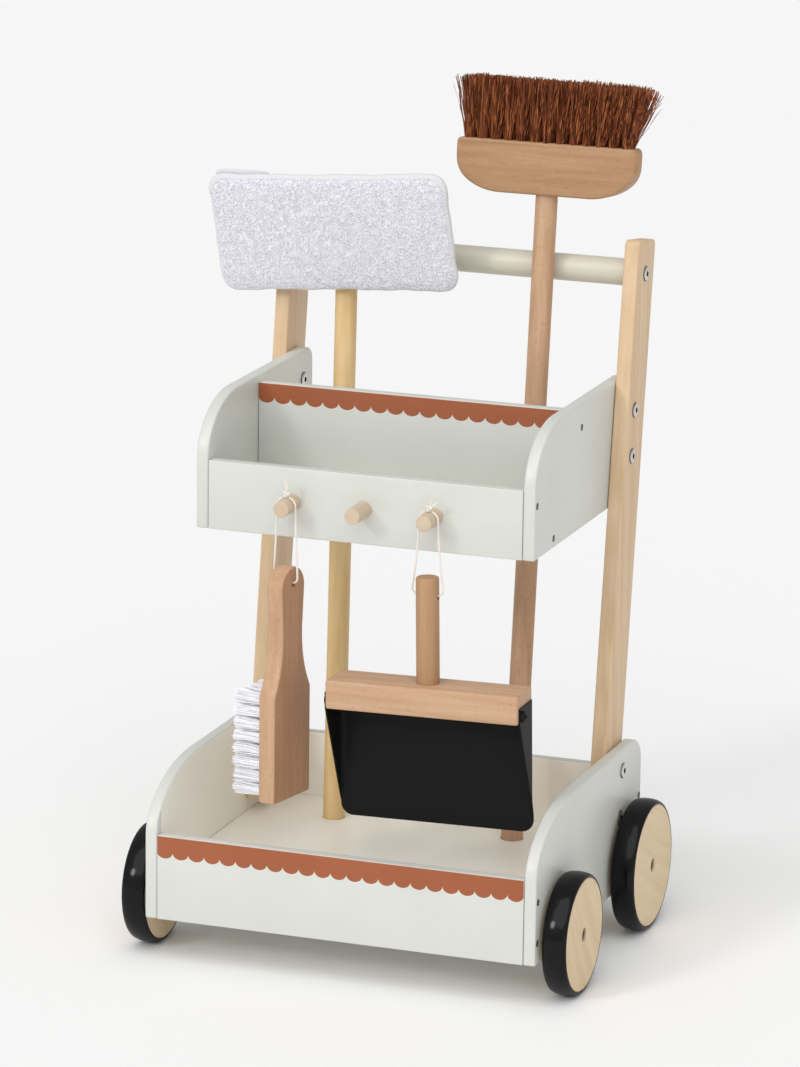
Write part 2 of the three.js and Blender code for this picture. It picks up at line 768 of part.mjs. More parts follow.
// Bristles: tapering three-sided strands in round tufts on a slice of their backing.
// Roots lie in X and Y at height 0 and the strands rise along Z.
function bristles(tufts, length, splayX, splayY, width, depth) {
  const points = [];
  const faces = [];
  const corners = 3;
  const strand = (x, y, tipX, tipY, reach) => {
    const base = points.length;
    const root = [x, y, -strandRoot, strandRadius];
    const tip = [tipX, tipY, reach, strandRadius * strandTaper];
    for (const [cx, cy, z, r] of [root, tip]) {
      for (let k = 0; k < corners; k += 1) {
        const angle = (2 * Math.PI * k) / corners;
        points.push(cx + r * Math.cos(angle), cy + r * Math.sin(angle), z);
      }
    }
    const first = base / corners;
    faces.push(first, first + 2, first + 1, first + 3, first + 4, first + 5);
    for (let k = 0; k < corners; k += 1) {
      const next = (k + 1) % corners;
      faces.push(first + k, first + next, first + corners + next);
      faces.push(first + k, first + corners + next, first + corners + k);
    }
  };
  tufts.forEach(({ x, y, count, core }, index) => {
    if (core) strand(x, y, x * splayX, y * splayY, length);
    for (let k = 0; k < count; k += 1) {
      const angle = (2 * Math.PI * k) / count + index;
      const dx = tuftRing * Math.cos(angle);
      const dy = tuftRing * Math.sin(angle);
      const ragged = Math.sin(index * raggedTuftStep + k * raggedStrandStep) ** 2;
      const reach = length - strandRagged * ragged;
      strand(x + dx, y + dy, x * splayX + dx * tuftSpread, y * splayY + dy * tuftSpread, reach);
    }
  });
  const geometry = new THREE.BufferGeometry();
  geometry.setAttribute('position', new THREE.Float32BufferAttribute(points, 3));
  geometry.setIndex(faces);
  const backing = block([-width / 2, -depth / 2, -slice], [width / 2, depth / 2, 0]);
  return join([backing, geometry]);
}

function tuftGrid(columns, rows, pitchX, pitchY, count, core) {
  const tufts = [];
  for (let i = 0; i < columns; i += 1) {
    for (let j = 0; j < rows; j += 1) {
      const x = (i - (columns - 1) / 2) * pitchX;
      const y = (j - (rows - 1) / 2) * pitchY;
      tufts.push({ x, y, count, core });
    }
  }
  return tufts;
}

function addBroom() {
  const frame = broomFrame();
  cart.add(frame);
  const headTop = broomHeadReach + broomHeadHeight;
  const pole = rod('z', -poleSocket, broomHeadReach + handSink, poleRadius, dowelSides);
  add(frame, 'broom_pole', pole, beech);

  const half = broomHeadWidth / 2;
  const sweepRise = broomHeadHeight - broomEnd;
  const shape = new THREE.Shape();
  shape.absarc(-half + broomCorner, headTop - broomCorner, broomCorner, Math.PI / 2, Math.PI);
  const sweepX = half - broomSweepRun;
  const sweepZ = headTop - broomEnd;
  shape.absellipse(-sweepX, sweepZ, broomSweepRun, sweepRise, Math.PI, Math.PI * 1.5);
  shape.lineTo(sweepX, broomHeadReach);
  shape.absellipse(sweepX, sweepZ, broomSweepRun, sweepRise, Math.PI * 1.5, Math.PI * 2);
  shape.absarc(half - broomCorner, headTop - broomCorner, broomCorner, 0, Math.PI / 2);
  const sliceWidth = (broomTufts - 1) * broomTuftPitch + 2 * sliceMargin;
  const sliceDepth = (broomTuftRows - 1) * broomRowPitch + 2 * sliceMargin;
  const pocket = block(
    [-sliceWidth / 2 - seat, -sliceDepth / 2 - seat, headTop - slice - seat],
    [sliceWidth / 2 + seat, sliceDepth / 2 + seat, headTop + slice],
  );
  const socket = rod(
    'z', broomHeadReach - handSink, broomHeadReach + handSink + seat, poleRadius + seat, dowelSides);
  const head = cut(sawnAlong(shape, -broomHeadThick / 2, broomHeadThick / 2), [pocket, socket]);
  add(frame, 'broom_head', head, beech);

  const tufts = tuftGrid(broomTufts, broomTuftRows, broomTuftPitch, broomRowPitch, broomTuftStrands, true);
  const brush = bristles(tufts, broomBristle, broomSplayAlong, broomSplayAcross, sliceWidth, sliceDepth);
  add(frame, 'broom_bristles', brush.translate(0, 0, headTop), coir);
}

// Hand brush, hung by its loop; its frame has the hanging hole at the origin, along X
function addHandBrush() {
  const frame = new THREE.Group();
  frame.position.set(pegXs[0], loopY, pegZ - brushDrop - hangDrop);
  frame.rotation.z = THREE.MathUtils.degToRad(brushTurn);
  cart.add(frame);

  const half = brushWidth / 2;
  const foot = -brushBelowHole;
  const arch = brushHandleHalf;
  const crown = brushAboveHole - arch;
  const flareX = half - brushFlareIn;
  const flareZ = -brushShoulderDrop + brushFlareRise;
  const pullZ = -brushNeckDrop - brushNeckPull;
  const shape = new THREE.Shape();
  shape.moveTo(-half + brushCorner, foot);
  shape.lineTo(half - brushCorner, foot);
  shape.absarc(half - brushCorner, foot + brushCorner, brushCorner, -Math.PI / 2, 0);
  shape.lineTo(half, -brushShoulderDrop);
  shape.bezierCurveTo(flareX, flareZ, brushNeckHalf, pullZ, brushNeckHalf, -brushNeckDrop);
  shape.lineTo(arch, crown);
  shape.absarc(0, crown, arch, 0, Math.PI);
  shape.lineTo(-brushNeckHalf, -brushNeckDrop);
  shape.bezierCurveTo(-brushNeckHalf, pullZ, -flareX, flareZ, -half, -brushShoulderDrop);
  shape.lineTo(-half, foot + brushCorner);
  shape.absarc(-half + brushCorner, foot + brushCorner, brushCorner, Math.PI, Math.PI * 1.5);

  const face = -brushThick / 2;
  const sliceLength = (brushRows - 1) * brushRowPitch + 2 * sliceMargin;
  const sliceWidth = (brushColumns - 1) * brushColumnPitch + 2 * sliceMargin;
  const middle = foot + brushBristleFoot + ((brushRows - 1) * brushRowPitch) / 2;
  const pocket = block(
    [face - slice, -sliceWidth / 2 - seat, middle - sliceLength / 2 - seat],
    [face + slice + seat, sliceWidth / 2 + seat, middle + sliceLength / 2 + seat],
  );
  const hole = rod('x', -brushThick, brushThick, hangHole, holeSides);
  const body = cut(sawnAcross(shape, face, -face), [pocket, hole]);
  add(frame, 'brush_block', body, beech);

  const tufts = tuftGrid(brushRows, brushColumns, brushRowPitch, brushColumnPitch, brushTuftStrands, false);
  const strands = bristles(tufts, brushBristle, 1, 1, sliceLength, sliceWidth);
  strands.rotateY(-Math.PI / 2).translate(face, 0, middle);
  add(frame, 'brush_bristles', strands, nylon);
}

// Dustpan, hung by its loop; its frame has the hanging hole at the origin, along X
function addDustpan() {
  const frame = new THREE.Group();
  frame.position.set(pegXs[2], loopY, pegZ - panDrop - hangDrop);
  frame.rotation.y = THREE.MathUtils.degToRad(panTilt);
  cart.add(frame);

  const blockTop = panHoleDepth - panHandleLength;
  const blockFoot = blockTop - panBlockHeight;
  const half = panBlockWidth / 2;
  const deep = panBlockDepth / 2;
  const handleProfile = [
    [0, blockTop - panHandleSink],
    [panHandleRadius, blockTop - panHandleSink],
    [panHandleRadius, panHoleDepth - panHandleRound],
    [panHandleRadius - panHandleRound, panHoleDepth],
    [0, panHoleDepth],
  ];
  const hole = rod('x', -panHandleRadius * 2, panHandleRadius * 2, hangHole, holeSides);
  add(frame, 'pan_handle', cut(turned('z', handleProfile, dowelSides), [hole]), beech);

  const screwY = panScrewSet - deep;
  const screwZ = blockFoot + panScrewRise;
  const bore = panScrewRadius + boltPlay;
  const screwHoles = (reach) => sides.map(({ sign }) => {
    const [from, to] = sign > 0 ? [half - reach, half * 2] : [-half * 2, -half + reach];
    return rod('x', from, to, bore, holeSides, [0, screwY, screwZ]);
  });
  const socketFoot = blockTop - panHandleSink - seat;
  const socket = rod('z', socketFoot, blockTop + seat, panHandleRadius + seat, dowelSides);
  const body = block([-half, -deep, blockFoot], [half, deep, blockTop]);
  add(frame, 'pan_block', cut(body, [socket, ...screwHoles(panScrewBite + seat)]), beech);

  const inner = half + seat;
  const outer = inner + panSheet;
  const rear = deep + seat;
  const lip = blockFoot - panDrape;
  const plate = new THREE.Shape();
  plate.moveTo(-outer, blockFoot + panEar);
  plate.lineTo(-outer, lip + panLipRound);
  plate.absarc(-outer + panLipRound, lip + panLipRound, panLipRound, Math.PI, Math.PI * 1.5);
  plate.lineTo(outer - panLipRound, lip);
  plate.absarc(outer - panLipRound, lip + panLipRound, panLipRound, Math.PI * 1.5, Math.PI * 2);
  plate.lineTo(outer, blockFoot + panEar);
  const wall = polygon([
    [rear + panSheet, lip + panLipRound + panLipRise],
    [rear + panSheet, blockFoot + panEar],
    [panEarSet - deep, blockFoot + panEar],
    [panEarSet - deep, blockFoot],
  ]);
  const walls = sides.map(({ sign }) =>
    (sign > 0 ? sawnAcross(wall, inner, outer) : sawnAcross(wall, -outer, -inner)));
  const tray = join([sawnAlong(plate, rear, rear + panSheet), ...walls]);
  add(frame, 'pan_sheet', cut(tray, screwHoles(0)), blackSteel);

  const screwProfile = [
    [0, half - panScrewBite],
    [panScrewRadius, half - panScrewBite],
    [panScrewRadius, outer + seat],
    [panScrewHead, outer + seat],
    [panScrewHead, outer + seat + panScrewThick / 2],
    [0, outer + seat + panScrewThick],
  ];
  for (const { name, sign } of sides) {
    const screw = sided(turned('x', screwProfile, boltSides), sign);
    add(frame, `pan_screw_${name}`, screw, blackSteel).position.set(0, screwY, screwZ);
  }
}

// Hanging loops: one cord round the peg and through the tool's hole, its ends tied in a knot
function addLoops() {
  const section = new THREE.Shape();
  section.absarc(0, 0, cordRadius, 0, Math.PI * 2);
  const ring = polygon(section.getSpacedPoints(cordSides).slice(0, -1).map(({ x, y }) => [x, y]));
  const loops = [
    { name: 'brush', x: pegXs[0], route: brushLoop },
    { name: 'pan', x: pegXs[2], route: panLoop },
  ];
  for (const { name, x, route } of loops) {
    const extrudePath = new THREE.CatmullRomCurve3(route.map((point) => new THREE.Vector3(...point)));
    const tube = new THREE.ExtrudeGeometry(ring, { steps: cordSteps, extrudePath, bevelEnabled: false });
    add(cart, `${name}_cord`, tube, cotton).position.set(x, loopY, pegZ);
    const knot = new THREE.IcosahedronGeometry(knotRadius, knotDetail);
    const rise = pegRadius + seat + knotRadius;
    add(cart, `${name}_knot`, knot, cotton).position.set(x, loopY, pegZ + rise);
  }
}

addLowerTray();
addUpperTray();
addPosts();
addBolts();
addWheels();
addMop();
addBroom();
addHandBrush();
addDustpan();
addLoops();

// The cart stands on the ground with the middle of its box over the origin
const bounds = new THREE.Box3().setFromObject(cart, true);
const middle = bounds.getCenter(new THREE.Vector3());
cart.position.set(-middle.x, -middle.y, -bounds.min.z);

export default cart;
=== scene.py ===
import bpy
import bmesh
import json
import math
from functools import partial
from mathutils import Matrix, Vector


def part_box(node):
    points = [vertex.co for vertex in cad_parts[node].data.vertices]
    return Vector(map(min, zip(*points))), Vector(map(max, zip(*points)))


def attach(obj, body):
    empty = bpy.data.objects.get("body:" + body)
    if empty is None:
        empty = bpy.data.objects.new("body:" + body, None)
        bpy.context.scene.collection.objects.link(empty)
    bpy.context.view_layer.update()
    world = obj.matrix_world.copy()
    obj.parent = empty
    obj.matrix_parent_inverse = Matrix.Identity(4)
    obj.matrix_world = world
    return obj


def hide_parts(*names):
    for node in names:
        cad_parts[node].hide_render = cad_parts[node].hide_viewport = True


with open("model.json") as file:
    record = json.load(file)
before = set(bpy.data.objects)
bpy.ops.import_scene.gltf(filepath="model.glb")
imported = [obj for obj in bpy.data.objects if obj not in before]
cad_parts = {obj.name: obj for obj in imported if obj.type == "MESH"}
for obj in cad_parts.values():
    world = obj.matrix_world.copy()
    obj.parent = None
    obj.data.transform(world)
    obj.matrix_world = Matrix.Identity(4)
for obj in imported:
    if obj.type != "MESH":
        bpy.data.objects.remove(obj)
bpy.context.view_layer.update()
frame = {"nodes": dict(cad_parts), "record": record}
joints = {j["name"]: j for j in frame["record"]["behaviour"]["joints"]}

# sizes below are millimetres in the cart's own frame:
# x from its middle, y from the lower front face, z from the ground
frontLow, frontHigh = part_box("lower_front_panel")
cartOrigin = Vector(((frontLow[0] + frontHigh[0]) / 2, frontLow[1], 0.0))
toRow = Matrix.Translation(cartOrigin) @ Matrix.Scale(0.001, 4)
alongX = Matrix(((0, 0, 1, 0), (0, 1, 0, 0), (-1, 0, 0, 0), (0, 0, 0, 1)))
alongY = Matrix.Rotation(-math.pi / 2, 4, "X")
sideSigns = (("left", -1), ("right", 1))


def move(x, y, z):
    return Matrix.Translation((x, y, z))


# materials

def addNode(tree, kind, sockets=None, **values):
    # a socket takes a constant or another node's output
    made = tree.nodes.new(kind)
    for key, value in values.items():
        setattr(made, key, value)
    for key, value in (sockets or {}).items():
        if isinstance(value, bpy.types.NodeSocket):
            tree.links.new(value, made.inputs[key])
        else:
            made.inputs[key].default_value = value
    return made


def newFinish(name, constants):
    finish = bpy.data.materials.new(name)
    finish.use_nodes = True
    tree = finish.node_tree
    shader = tree.nodes["Principled BSDF"]
    for key, value in constants.items():
        shader.inputs[key].default_value = value
    return finish, tree, shader, addNode(tree, "ShaderNodeTexCoord").outputs["Object"]


def noiseAt(tree, coords, stretch, scale, detail=4.0, roughness=0.55):
    place = addNode(tree, "ShaderNodeMapping", {"Scale": stretch, "Vector": coords})
    noise = addNode(tree, "ShaderNodeTexNoise", {"Scale": scale, "Detail": detail, "Roughness": roughness,
                                                 "Vector": place.outputs["Vector"]})
    return noise.outputs["Fac"]


def ramp(tree, value, *stops):
    made = addNode(tree, "ShaderNodeValToRGB", {"Fac": value})
    elements = made.color_ramp.elements
    while len(elements) < len(stops):
        elements.new(0.5)
    for element, (place, colour) in zip(elements, stops):
        element.position = place
        element.color = (*colour, 1.0)
    return made.outputs["Color"]


def twoTone(tree, value, deep, pale):
    return ramp(tree, value, (0.3, deep), (0.7, pale))


def blendColours(tree, kind, amount, a, b):
    a, b = ((*c, 1.0) if isinstance(c, tuple) else c for c in (a, b))
    return addNode(tree, "ShaderNodeMix", {0: amount, 6: a, 7: b}, data_type="RGBA", blend_type=kind).outputs[2]


def bumpFrom(tree, shader, height, strength, distance):
    bump = addNode(tree, "ShaderNodeBump", {"Strength": strength, "Distance": distance, "Height": height})
    tree.links.new(bump.outputs["Normal"], shader.inputs["Normal"])


def math2(tree, operation, *values):
    return addNode(tree, "ShaderNodeMath", dict(enumerate(values)), operation=operation).outputs[0]


even = (1, 1, 1)
paintLook = {"light": (0.672, 0.685, 0.638), "dark": (0.636, 0.649, 0.602), "roughness": 0.36, "cloud": 14.0,
             "grain": 900.0, "bump": 0.06, "depth": 0.0004, "insideShade": 0.97}
scallopLook = {"colour": (0.360, 0.100, 0.034), "worn": (0.328, 0.088, 0.029)}


def paintFinish(name, band=None, inside=None):
    finish, tree, shader, coords = newFinish(name, {"Roughness": paintLook["roughness"]})
    calc = partial(math2, tree)
    cloud = noiseAt(tree, coords, even, paintLook["cloud"], 3.0)
    colour = twoTone(tree, cloud, paintLook["dark"], paintLook["light"])
    x, y, z = addNode(tree, "ShaderNodeSeparateXYZ", {0: coords}).outputs
    if inside:
        # another tone inside the given box: painted light in the lower tray (a lighter, warmer cream where the
        # upper tray shades it), the bar's own warmer paint on the handlebar
        between = calc("LESS_THAN", calc("ABSOLUTE", calc("SUBTRACT", x, inside["middle"])), inside["half"])
        deep = calc("MULTIPLY", calc("GREATER_THAN", y, inside["front"]), calc("LESS_THAN", y, inside["back"]))
        shade = tuple(c * paintLook["insideShade"] for c in inside["tone"])
        warm = twoTone(tree, cloud, shade, inside["tone"])
        colour = blendColours(tree, "MIX", calc("MULTIPLY", between, deep), colour, warm)
    if band:
        # one scallop is a half ellipse below the straight part of the band
        turns = calc("DIVIDE", calc("SUBTRACT", x, band["left"]), band["pitch"])
        across = calc("MULTIPLY_ADD", calc("FRACT", turns), 2.0, -1.0)
        under = calc("SUBTRACT", 1.0, calc("MULTIPLY", across, across))
        arch = calc("SQRT", calc("MAXIMUM", under, 0.0))
        foot = calc("SUBTRACT", band["top"] - band["straight"], calc("MULTIPLY", arch, band["drop"]))
        above = calc("MULTIPLY", calc("GREATER_THAN", z, foot), calc("LESS_THAN", y, band["front"]))
        mask = calc("MULTIPLY", above, calc("LESS_THAN", z, band["top"] - band["edge"]))
        printed = twoTone(tree, cloud, scallopLook["worn"], scallopLook["colour"])
        colour = blendColours(tree, "MIX", mask, colour, printed)
    tree.links.new(colour, shader.inputs["Base Color"])
    fine = noiseAt(tree, coords, even, paintLook["grain"], 2.0)
    bumpFrom(tree, shader, fine, paintLook["bump"], paintLook["depth"])
    return finish


woodLook = {"roughness": 0.5, "gloss": 0.35, "grain": 170.0, "rings": 70.0, "ringTurns": 9.0,
            "ringTone": (0.80, 0.70, 0.56), "cloud": 9.0, "cloudTone": (0.93, 0.90, 0.86), "dashes": 1300.0,
            "bump": 0.10, "depth": 0.0005}


def woodFinish(name, pale, deep, fleck, stretch, fleckAmount, rings=0.0, turn=0.0, face=None):
    look = woodLook
    constants = {"Roughness": look["roughness"], "Specular IOR Level": look["gloss"]}
    finish, tree, shader, coords = newFinish(name, constants)
    calc = partial(math2, tree)
    if turn:
        sockets = {"Vector": coords, "Angle": turn}
        coords = addNode(tree, "ShaderNodeVectorRotate", sockets, rotation_type="X_AXIS").outputs[0]
    grain = noiseAt(tree, coords, stretch, look["grain"], 6.0, 0.6)
    colour = ramp(tree, grain, (0.32, deep), (0.68, pale))
    if rings:
        slow = noiseAt(tree, coords, tuple(s * 0.5 for s in stretch), look["rings"], 2.0)
        bands = calc("PINGPONG", calc("MULTIPLY", slow, look["ringTurns"]), 1.0)
        tones = ramp(tree, bands, (0.1, even), (0.95, look["ringTone"]))
        colour = blendColours(tree, "MULTIPLY", rings, colour, tones)
    cloud = noiseAt(tree, coords, even, look["cloud"], 2.0)
    colour = blendColours(tree, "MULTIPLY", 0.5, colour, twoTone(tree, cloud, look["cloudTone"], even))
    dashes = noiseAt(tree, coords, tuple(0.12 + 0.88 * s for s in stretch), look["dashes"], 1.0)
    mask = ramp(tree, dashes, (0.60, (0, 0, 0)), (0.70, even))
    colour = blendColours(tree, "MIX", calc("MULTIPLY", mask, fleckAmount), colour, fleck)
    if face:
        # the board's broad faces are deeper than its edges
        depth = addNode(tree, "ShaderNodeVectorMath", {0: coords, 1: face["normal"]}, operation="DOT_PRODUCT")
        away = calc("ABSOLUTE", calc("SUBTRACT", depth.outputs["Value"], face["middle"]))
        colour = blendColours(tree, "MULTIPLY", calc("GREATER_THAN", away, face["half"]), colour, face["tone"])
    tree.links.new(colour, shader.inputs["Base Color"])
    bumpFrom(tree, shader, grain, look["bump"], look["depth"])
    return finish


def strandFinish(name, pale, middle, deep):
    # every fibre has its own tone, even along its length
    finish, tree, shader, coords = newFinish(name, {"Roughness": 0.6, "Specular IOR Level": 0.2})
    fibres = noiseAt(tree, coords, (1, 1, 0.03), 850.0, 2.0, 0.5)
    tufts = noiseAt(tree, coords, (1, 1, 0.3), 120.0, 2.0)
    colour = ramp(tree, fibres, (0.34, deep), (0.50, middle), (0.66, pale))
    shade = ramp(tree, tufts, (0.35, (0.62, 0.58, 0.55)), (0.65, even))
    tree.links.new(blendColours(tree, "MULTIPLY", 0.6, colour, shade), shader.inputs["Base Color"])
    return finish


def plainFinish(name, pale, deep, roughness, scale, bump, metallic=0.0, coat=0.0, sheen=0.0, gloss=0.5):
    finish, tree, shader, coords = newFinish(name, {
        "Roughness": roughness, "Metallic": metallic, "Coat Weight": coat, "Coat Roughness": 0.12,
        "Specular IOR Level": gloss, "Sheen Weight": sheen})
    grain = noiseAt(tree, coords, even, scale, 5.0)
    colour = twoTone(tree, grain, deep, pale)
    # painted shade: metal heads turn near black where paintedShade is set, in the socket and in the gap around
    # the head
    if metallic:
        paintedShade = addNode(tree, "ShaderNodeAttribute", attribute_name="paintedShade")
        colour = blendColours(tree, "MIX", paintedShade.outputs["Fac"], colour, (0.015, 0.015, 0.015))
    tree.links.new(colour, shader.inputs["Base Color"])
    bumpFrom(tree, shader, grain, bump, 0.0004)
    return finish


grainZ, grainX, grainY = (1, 1, 0.05), (0.05, 1, 1), (1, 0.05, 1)
beechTones = ((0.610, 0.395, 0.250), (0.510, 0.305, 0.180), (0.270, 0.120, 0.058))
deepBeech = ((0.485, 0.290, 0.158), (0.405, 0.225, 0.112), (0.240, 0.105, 0.048))
pegBeech = ((0.660, 0.530, 0.400), (0.580, 0.450, 0.325), (0.400, 0.270, 0.160))
pineTones = ((0.775, 0.590, 0.395), (0.705, 0.510, 0.320), (0.500, 0.310, 0.150))
yellowPine = ((0.825, 0.615, 0.325), (0.745, 0.530, 0.250), (0.500, 0.300, 0.130))
plyTones = ((0.800, 0.640, 0.430), (0.740, 0.570, 0.365), (0.520, 0.330, 0.160))
paint = paintFinish("creamPaint")
beechZ = woodFinish("beechUpright", *beechTones, grainZ, 0.28)
beechX = woodFinish("beechAcross", *beechTones, grainX, 0.3)
broomBeech = woodFinish("broomBeech", *deepBeech, grainX, 0.3)
handleBeech = woodFinish("handleBeech", *deepBeech, grainZ, 0.2)
beechY = woodFinish("beechPeg", *pegBeech, grainY, 0.15)
pine = woodFinish("pine", *pineTones, grainZ, 0.0, rings=0.32)
mopPine = woodFinish("mopPine", *yellowPine, grainZ, 0.0, rings=0.4)
rearPly = woodFinish("rearPly", *plyTones, grainY, 0.0, rings=0.22, turn=0.45)
frontPly = woodFinish("frontPly", *plyTones, grainY, 0.0, rings=0.3, turn=0.95)
hubBrown = plainFinish("hubBrown", (0.20, 0.14, 0.09), (0.12, 0.08, 0.05), 0.5, 700.0, 0.05, metallic=0.5)
tyreBlack = plainFinish("tyreBlack", (0.005, 0.005, 0.006), (0.003, 0.003, 0.004), 0.4, 500.0, 0.02,
                        coat=0.3, gloss=0.05)
brightSteel = plainFinish("brightSteel", (0.66, 0.66, 0.66), (0.52, 0.52, 0.52), 0.28, 700.0, 0.05,
                          metallic=1.0)
darkSteel = plainFinish("darkSteel", (0.10, 0.10, 0.10), (0.05, 0.05, 0.05), 0.4, 700.0, 0.05, metallic=0.8)
greyPlastic = plainFinish("greyPlastic", (0.46, 0.47, 0.48), (0.40, 0.41, 0.42), 0.5, 1200.0, 0.15)
blackSheet = plainFinish("blackSheet", (0.009, 0.009, 0.009), (0.006, 0.006, 0.006), 0.5, 1500.0, 0.12,
                         gloss=0.12)
terryWhite = plainFinish("terryWhite", (0.92, 0.91, 0.96), (0.85, 0.84, 0.89), 0.95, 900.0, 0.3, sheen=0.25)
bindingWhite = plainFinish("bindingWhite", (0.75, 0.75, 0.77), (0.69, 0.69, 0.71), 0.95, 1600.0, 0.3, gloss=0.2)
coirBrown = strandFinish("coirBrown", (0.560, 0.190, 0.064), (0.235, 0.062, 0.022), (0.050, 0.013, 0.006))
nylonWhite = plainFinish("nylonWhite", (0.98, 0.98, 1.0), (0.96, 0.96, 1.0), 0.6, 400.0, 0.05,
                         sheen=0.3, gloss=0.3)
cottonCream = plainFinish("cottonCream", (0.88, 0.84, 0.78), (0.78, 0.73, 0.65), 0.9, 1500.0, 0.4, sheen=0.2)
print("finishes made")


# meshes

def show(name, data):
    made = bpy.data.objects.new(name, data)
    bpy.context.scene.collection.objects.link(made)
    return made


sharpAngle = math.radians(35)


def piece(name, mesh, finish, place, smooth=35.0):
    mesh.transform(toRow @ place)
    mesh.shade_smooth()
    mesh.set_sharp_from_angle(angle=math.radians(smooth))
    mesh.materials.clear()
    mesh.materials.append(finish)
    return show(name, mesh)


def fromBmesh(name, bm):
    bmesh.ops.remove_doubles(bm, verts=bm.verts, dist=0.0005)
    bmesh.ops.recalc_face_normals(bm, faces=bm.faces)
    mesh = bpy.data.meshes.new(name)
    bm.to_mesh(mesh)
    bm.free()
    return mesh


def roundEdges(bm, width, segments=3):
    sharp = [e for e in bm.edges if len(e.link_faces) == 2 and e.calc_face_angle(0) > sharpAngle]
    bmesh.ops.bevel(bm, geom=sharp, offset=width, segments=segments, profile=0.5, affect="EDGES",
                    clamp_overlap=True)


def stitch(bm, rows, closed=True):
    # faces between each row of points and the next
    count = len(rows[0])
    for low, high in zip(rows, rows[1:]):
        for i in range(count if closed else count - 1):
            k = (i + 1) % count
            bm.faces.new((low[i], low[k], high[k], high[i]))


def board(points, low, high, axis, edge):
    bm = bmesh.new()
    order = {"x": (2, 0, 1), "y": (0, 2, 1)}[axis]
    base, top = ([bm.verts.new([(u, v, t)[i] for i in order]) for u, v in points] for t in (low, high))
    bm.faces.new(base)
    bm.faces.new(top)
    stitch(bm, [base, top])
    bmesh.ops.recalc_face_normals(bm, faces=bm.faces)
    roundEdges(bm, edge)
    return bm


def arc(cx, cy, rx, ry, start, end, steps=18):
    span = math.radians(end - start)
    angles = [math.radians(start) + span * i / steps for i in range(steps + 1)]
    return [(cx + rx * math.cos(a), cy + ry * math.sin(a)) for a in angles]


def latheMesh(name, profile, steps=56):
    bm = bmesh.new()
    rings = []
    for radius, along in profile:
        if radius < 1e-6:
            rings.append([bm.verts.new((0, 0, along))])
            continue
        spin = [2 * math.pi * i / steps for i in range(steps)]
        rings.append([bm.verts.new((radius * math.cos(a), radius * math.sin(a), along)) for a in spin])
    for low, high in zip(rings, rings[1:]):
        for i in range(steps):
            k = (i + 1) % steps
            corners = [low[i % len(low)], low[k % len(low)], high[k % len(high)], high[i % len(high)]]
            corners = list(dict.fromkeys(corners))
            if len(corners) > 2:
                bm.faces.new(corners)
    return fromBmesh(name, bm)


def softRod(radius, low, high, edge, steps=4):
    turn = [math.pi / 2 * i / steps for i in range(steps + 1)]
    foot = [(radius - edge + edge * math.sin(a), low + edge - edge * math.cos(a)) for a in turn]
    head = [(radius - edge + edge * math.cos(a), high - edge + edge * math.sin(a)) for a in turn]
    return [(0, low), *foot, *head, (0, high)]


def ready(made, body, slot, *nodes):
    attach(made, body)
    if nodes:
        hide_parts(*nodes)
    return made


def put(name, mesh, finish, place, body, slot, *nodes, smooth=35.0):
    return ready(piece(name, mesh, finish, place, smooth), body, slot, *nodes)


def dress(node, finish):
    shown = frame["nodes"][node]
    shown.data.materials.clear()
    shown.data.materials.append(finish)


def softCopy(name, node, finish, edge, body, slot):
    bm = bmesh.new()
    bm.from_mesh(frame["nodes"][node].data)
    bmesh.ops.scale(bm, vec=(1000, 1000, 1000), verts=bm.verts)
    bmesh.ops.remove_doubles(bm, verts=bm.verts, dist=0.001)
    bmesh.ops.dissolve_limit(bm, angle_limit=math.radians(1.0), verts=bm.verts, edges=bm.edges)
    roundEdges(bm, edge, 2)
    mesh = bpy.data.meshes.new(name)
    bm.to_mesh(mesh)
    bm.free()
    mesh.transform(Matrix.Translation(-cartOrigin * 1000))
    return ready(piece(name, mesh, finish, Matrix()), body, slot, node)


def newTree(name, **kinds):
    # kinds gives the names of the inputs of each socket type
    tree = bpy.data.node_groups.new(name, "GeometryNodeTree")
    for kind, labels in {"Geometry": ("Geometry",), **kinds, "Material": ("Finish",)}.items():
        for label in labels:
            tree.interface.new_socket(label, in_out="INPUT", socket_type="NodeSocket" + kind)
    tree.interface.new_socket("Geometry", in_out="OUTPUT", socket_type="NodeSocketGeometry")
    return tree, addNode(tree, "NodeGroupInput").outputs


def endTree(tree, geometry, finish):
    coat = addNode(tree, "GeometryNodeSetMaterial", {"Geometry": geometry, "Material": finish})
    addNode(tree, "NodeGroupOutput", {0: coat.outputs[0]})
    return tree


def evaluated(made):
    depsgraph = bpy.context.evaluated_depsgraph_get()
    return bpy.data.meshes.new_from_object(made.evaluated_get(depsgraph))


def grow(name, tree, base, values):
    # evaluates the tree on a base mesh and keeps the result as a plain mesh
    holder = show(name + "Base", base)
    modifier = holder.modifiers.new(name, "NODES")
    modifier.node_group = tree
    for item in tree.interface.items_tree:
        if item.in_out == "INPUT" and item.name in values:
            modifier[item.identifier] = values[item.name]
    mesh = evaluated(holder)
    holder.modifiers.remove(modifier)
    bpy.data.objects.remove(holder)
    mesh.name = name
    return mesh


# trays

trays = {"panel": 10, "seat": 0.3, "edge": 1.6, "panelEdge": 0.9,
         "lower": {"front": 0, "foot": 36, "depth": 268, "height": 118, "shoulder": 69, "run": 95, "rear": 22,
                   "frontHeight": 70, "backHeight": 90, "backAt": 258, "outer": 165},
         "upper": {"front": 49, "foot": 349.5, "depth": 232, "height": 103, "shoulder": 56, "run": 66,
                   "rear": 12, "frontHeight": 56, "backHeight": 97, "backAt": 157, "outer": 141.9}}


def sidePoints(tray):
    y, z, top = tray["front"], tray["foot"], tray["foot"] + tray["height"]
    rear, end = tray["rear"], tray["front"] + tray["depth"]
    points = [(y, z), (end, z)]
    points += arc(end - rear, top - rear, rear, rear, 0, 90)
    rise = tray["height"] - tray["shoulder"]
    points += arc(y + tray["run"], z + tray["shoulder"], tray["run"], rise, 90, 180, 30)
    return points


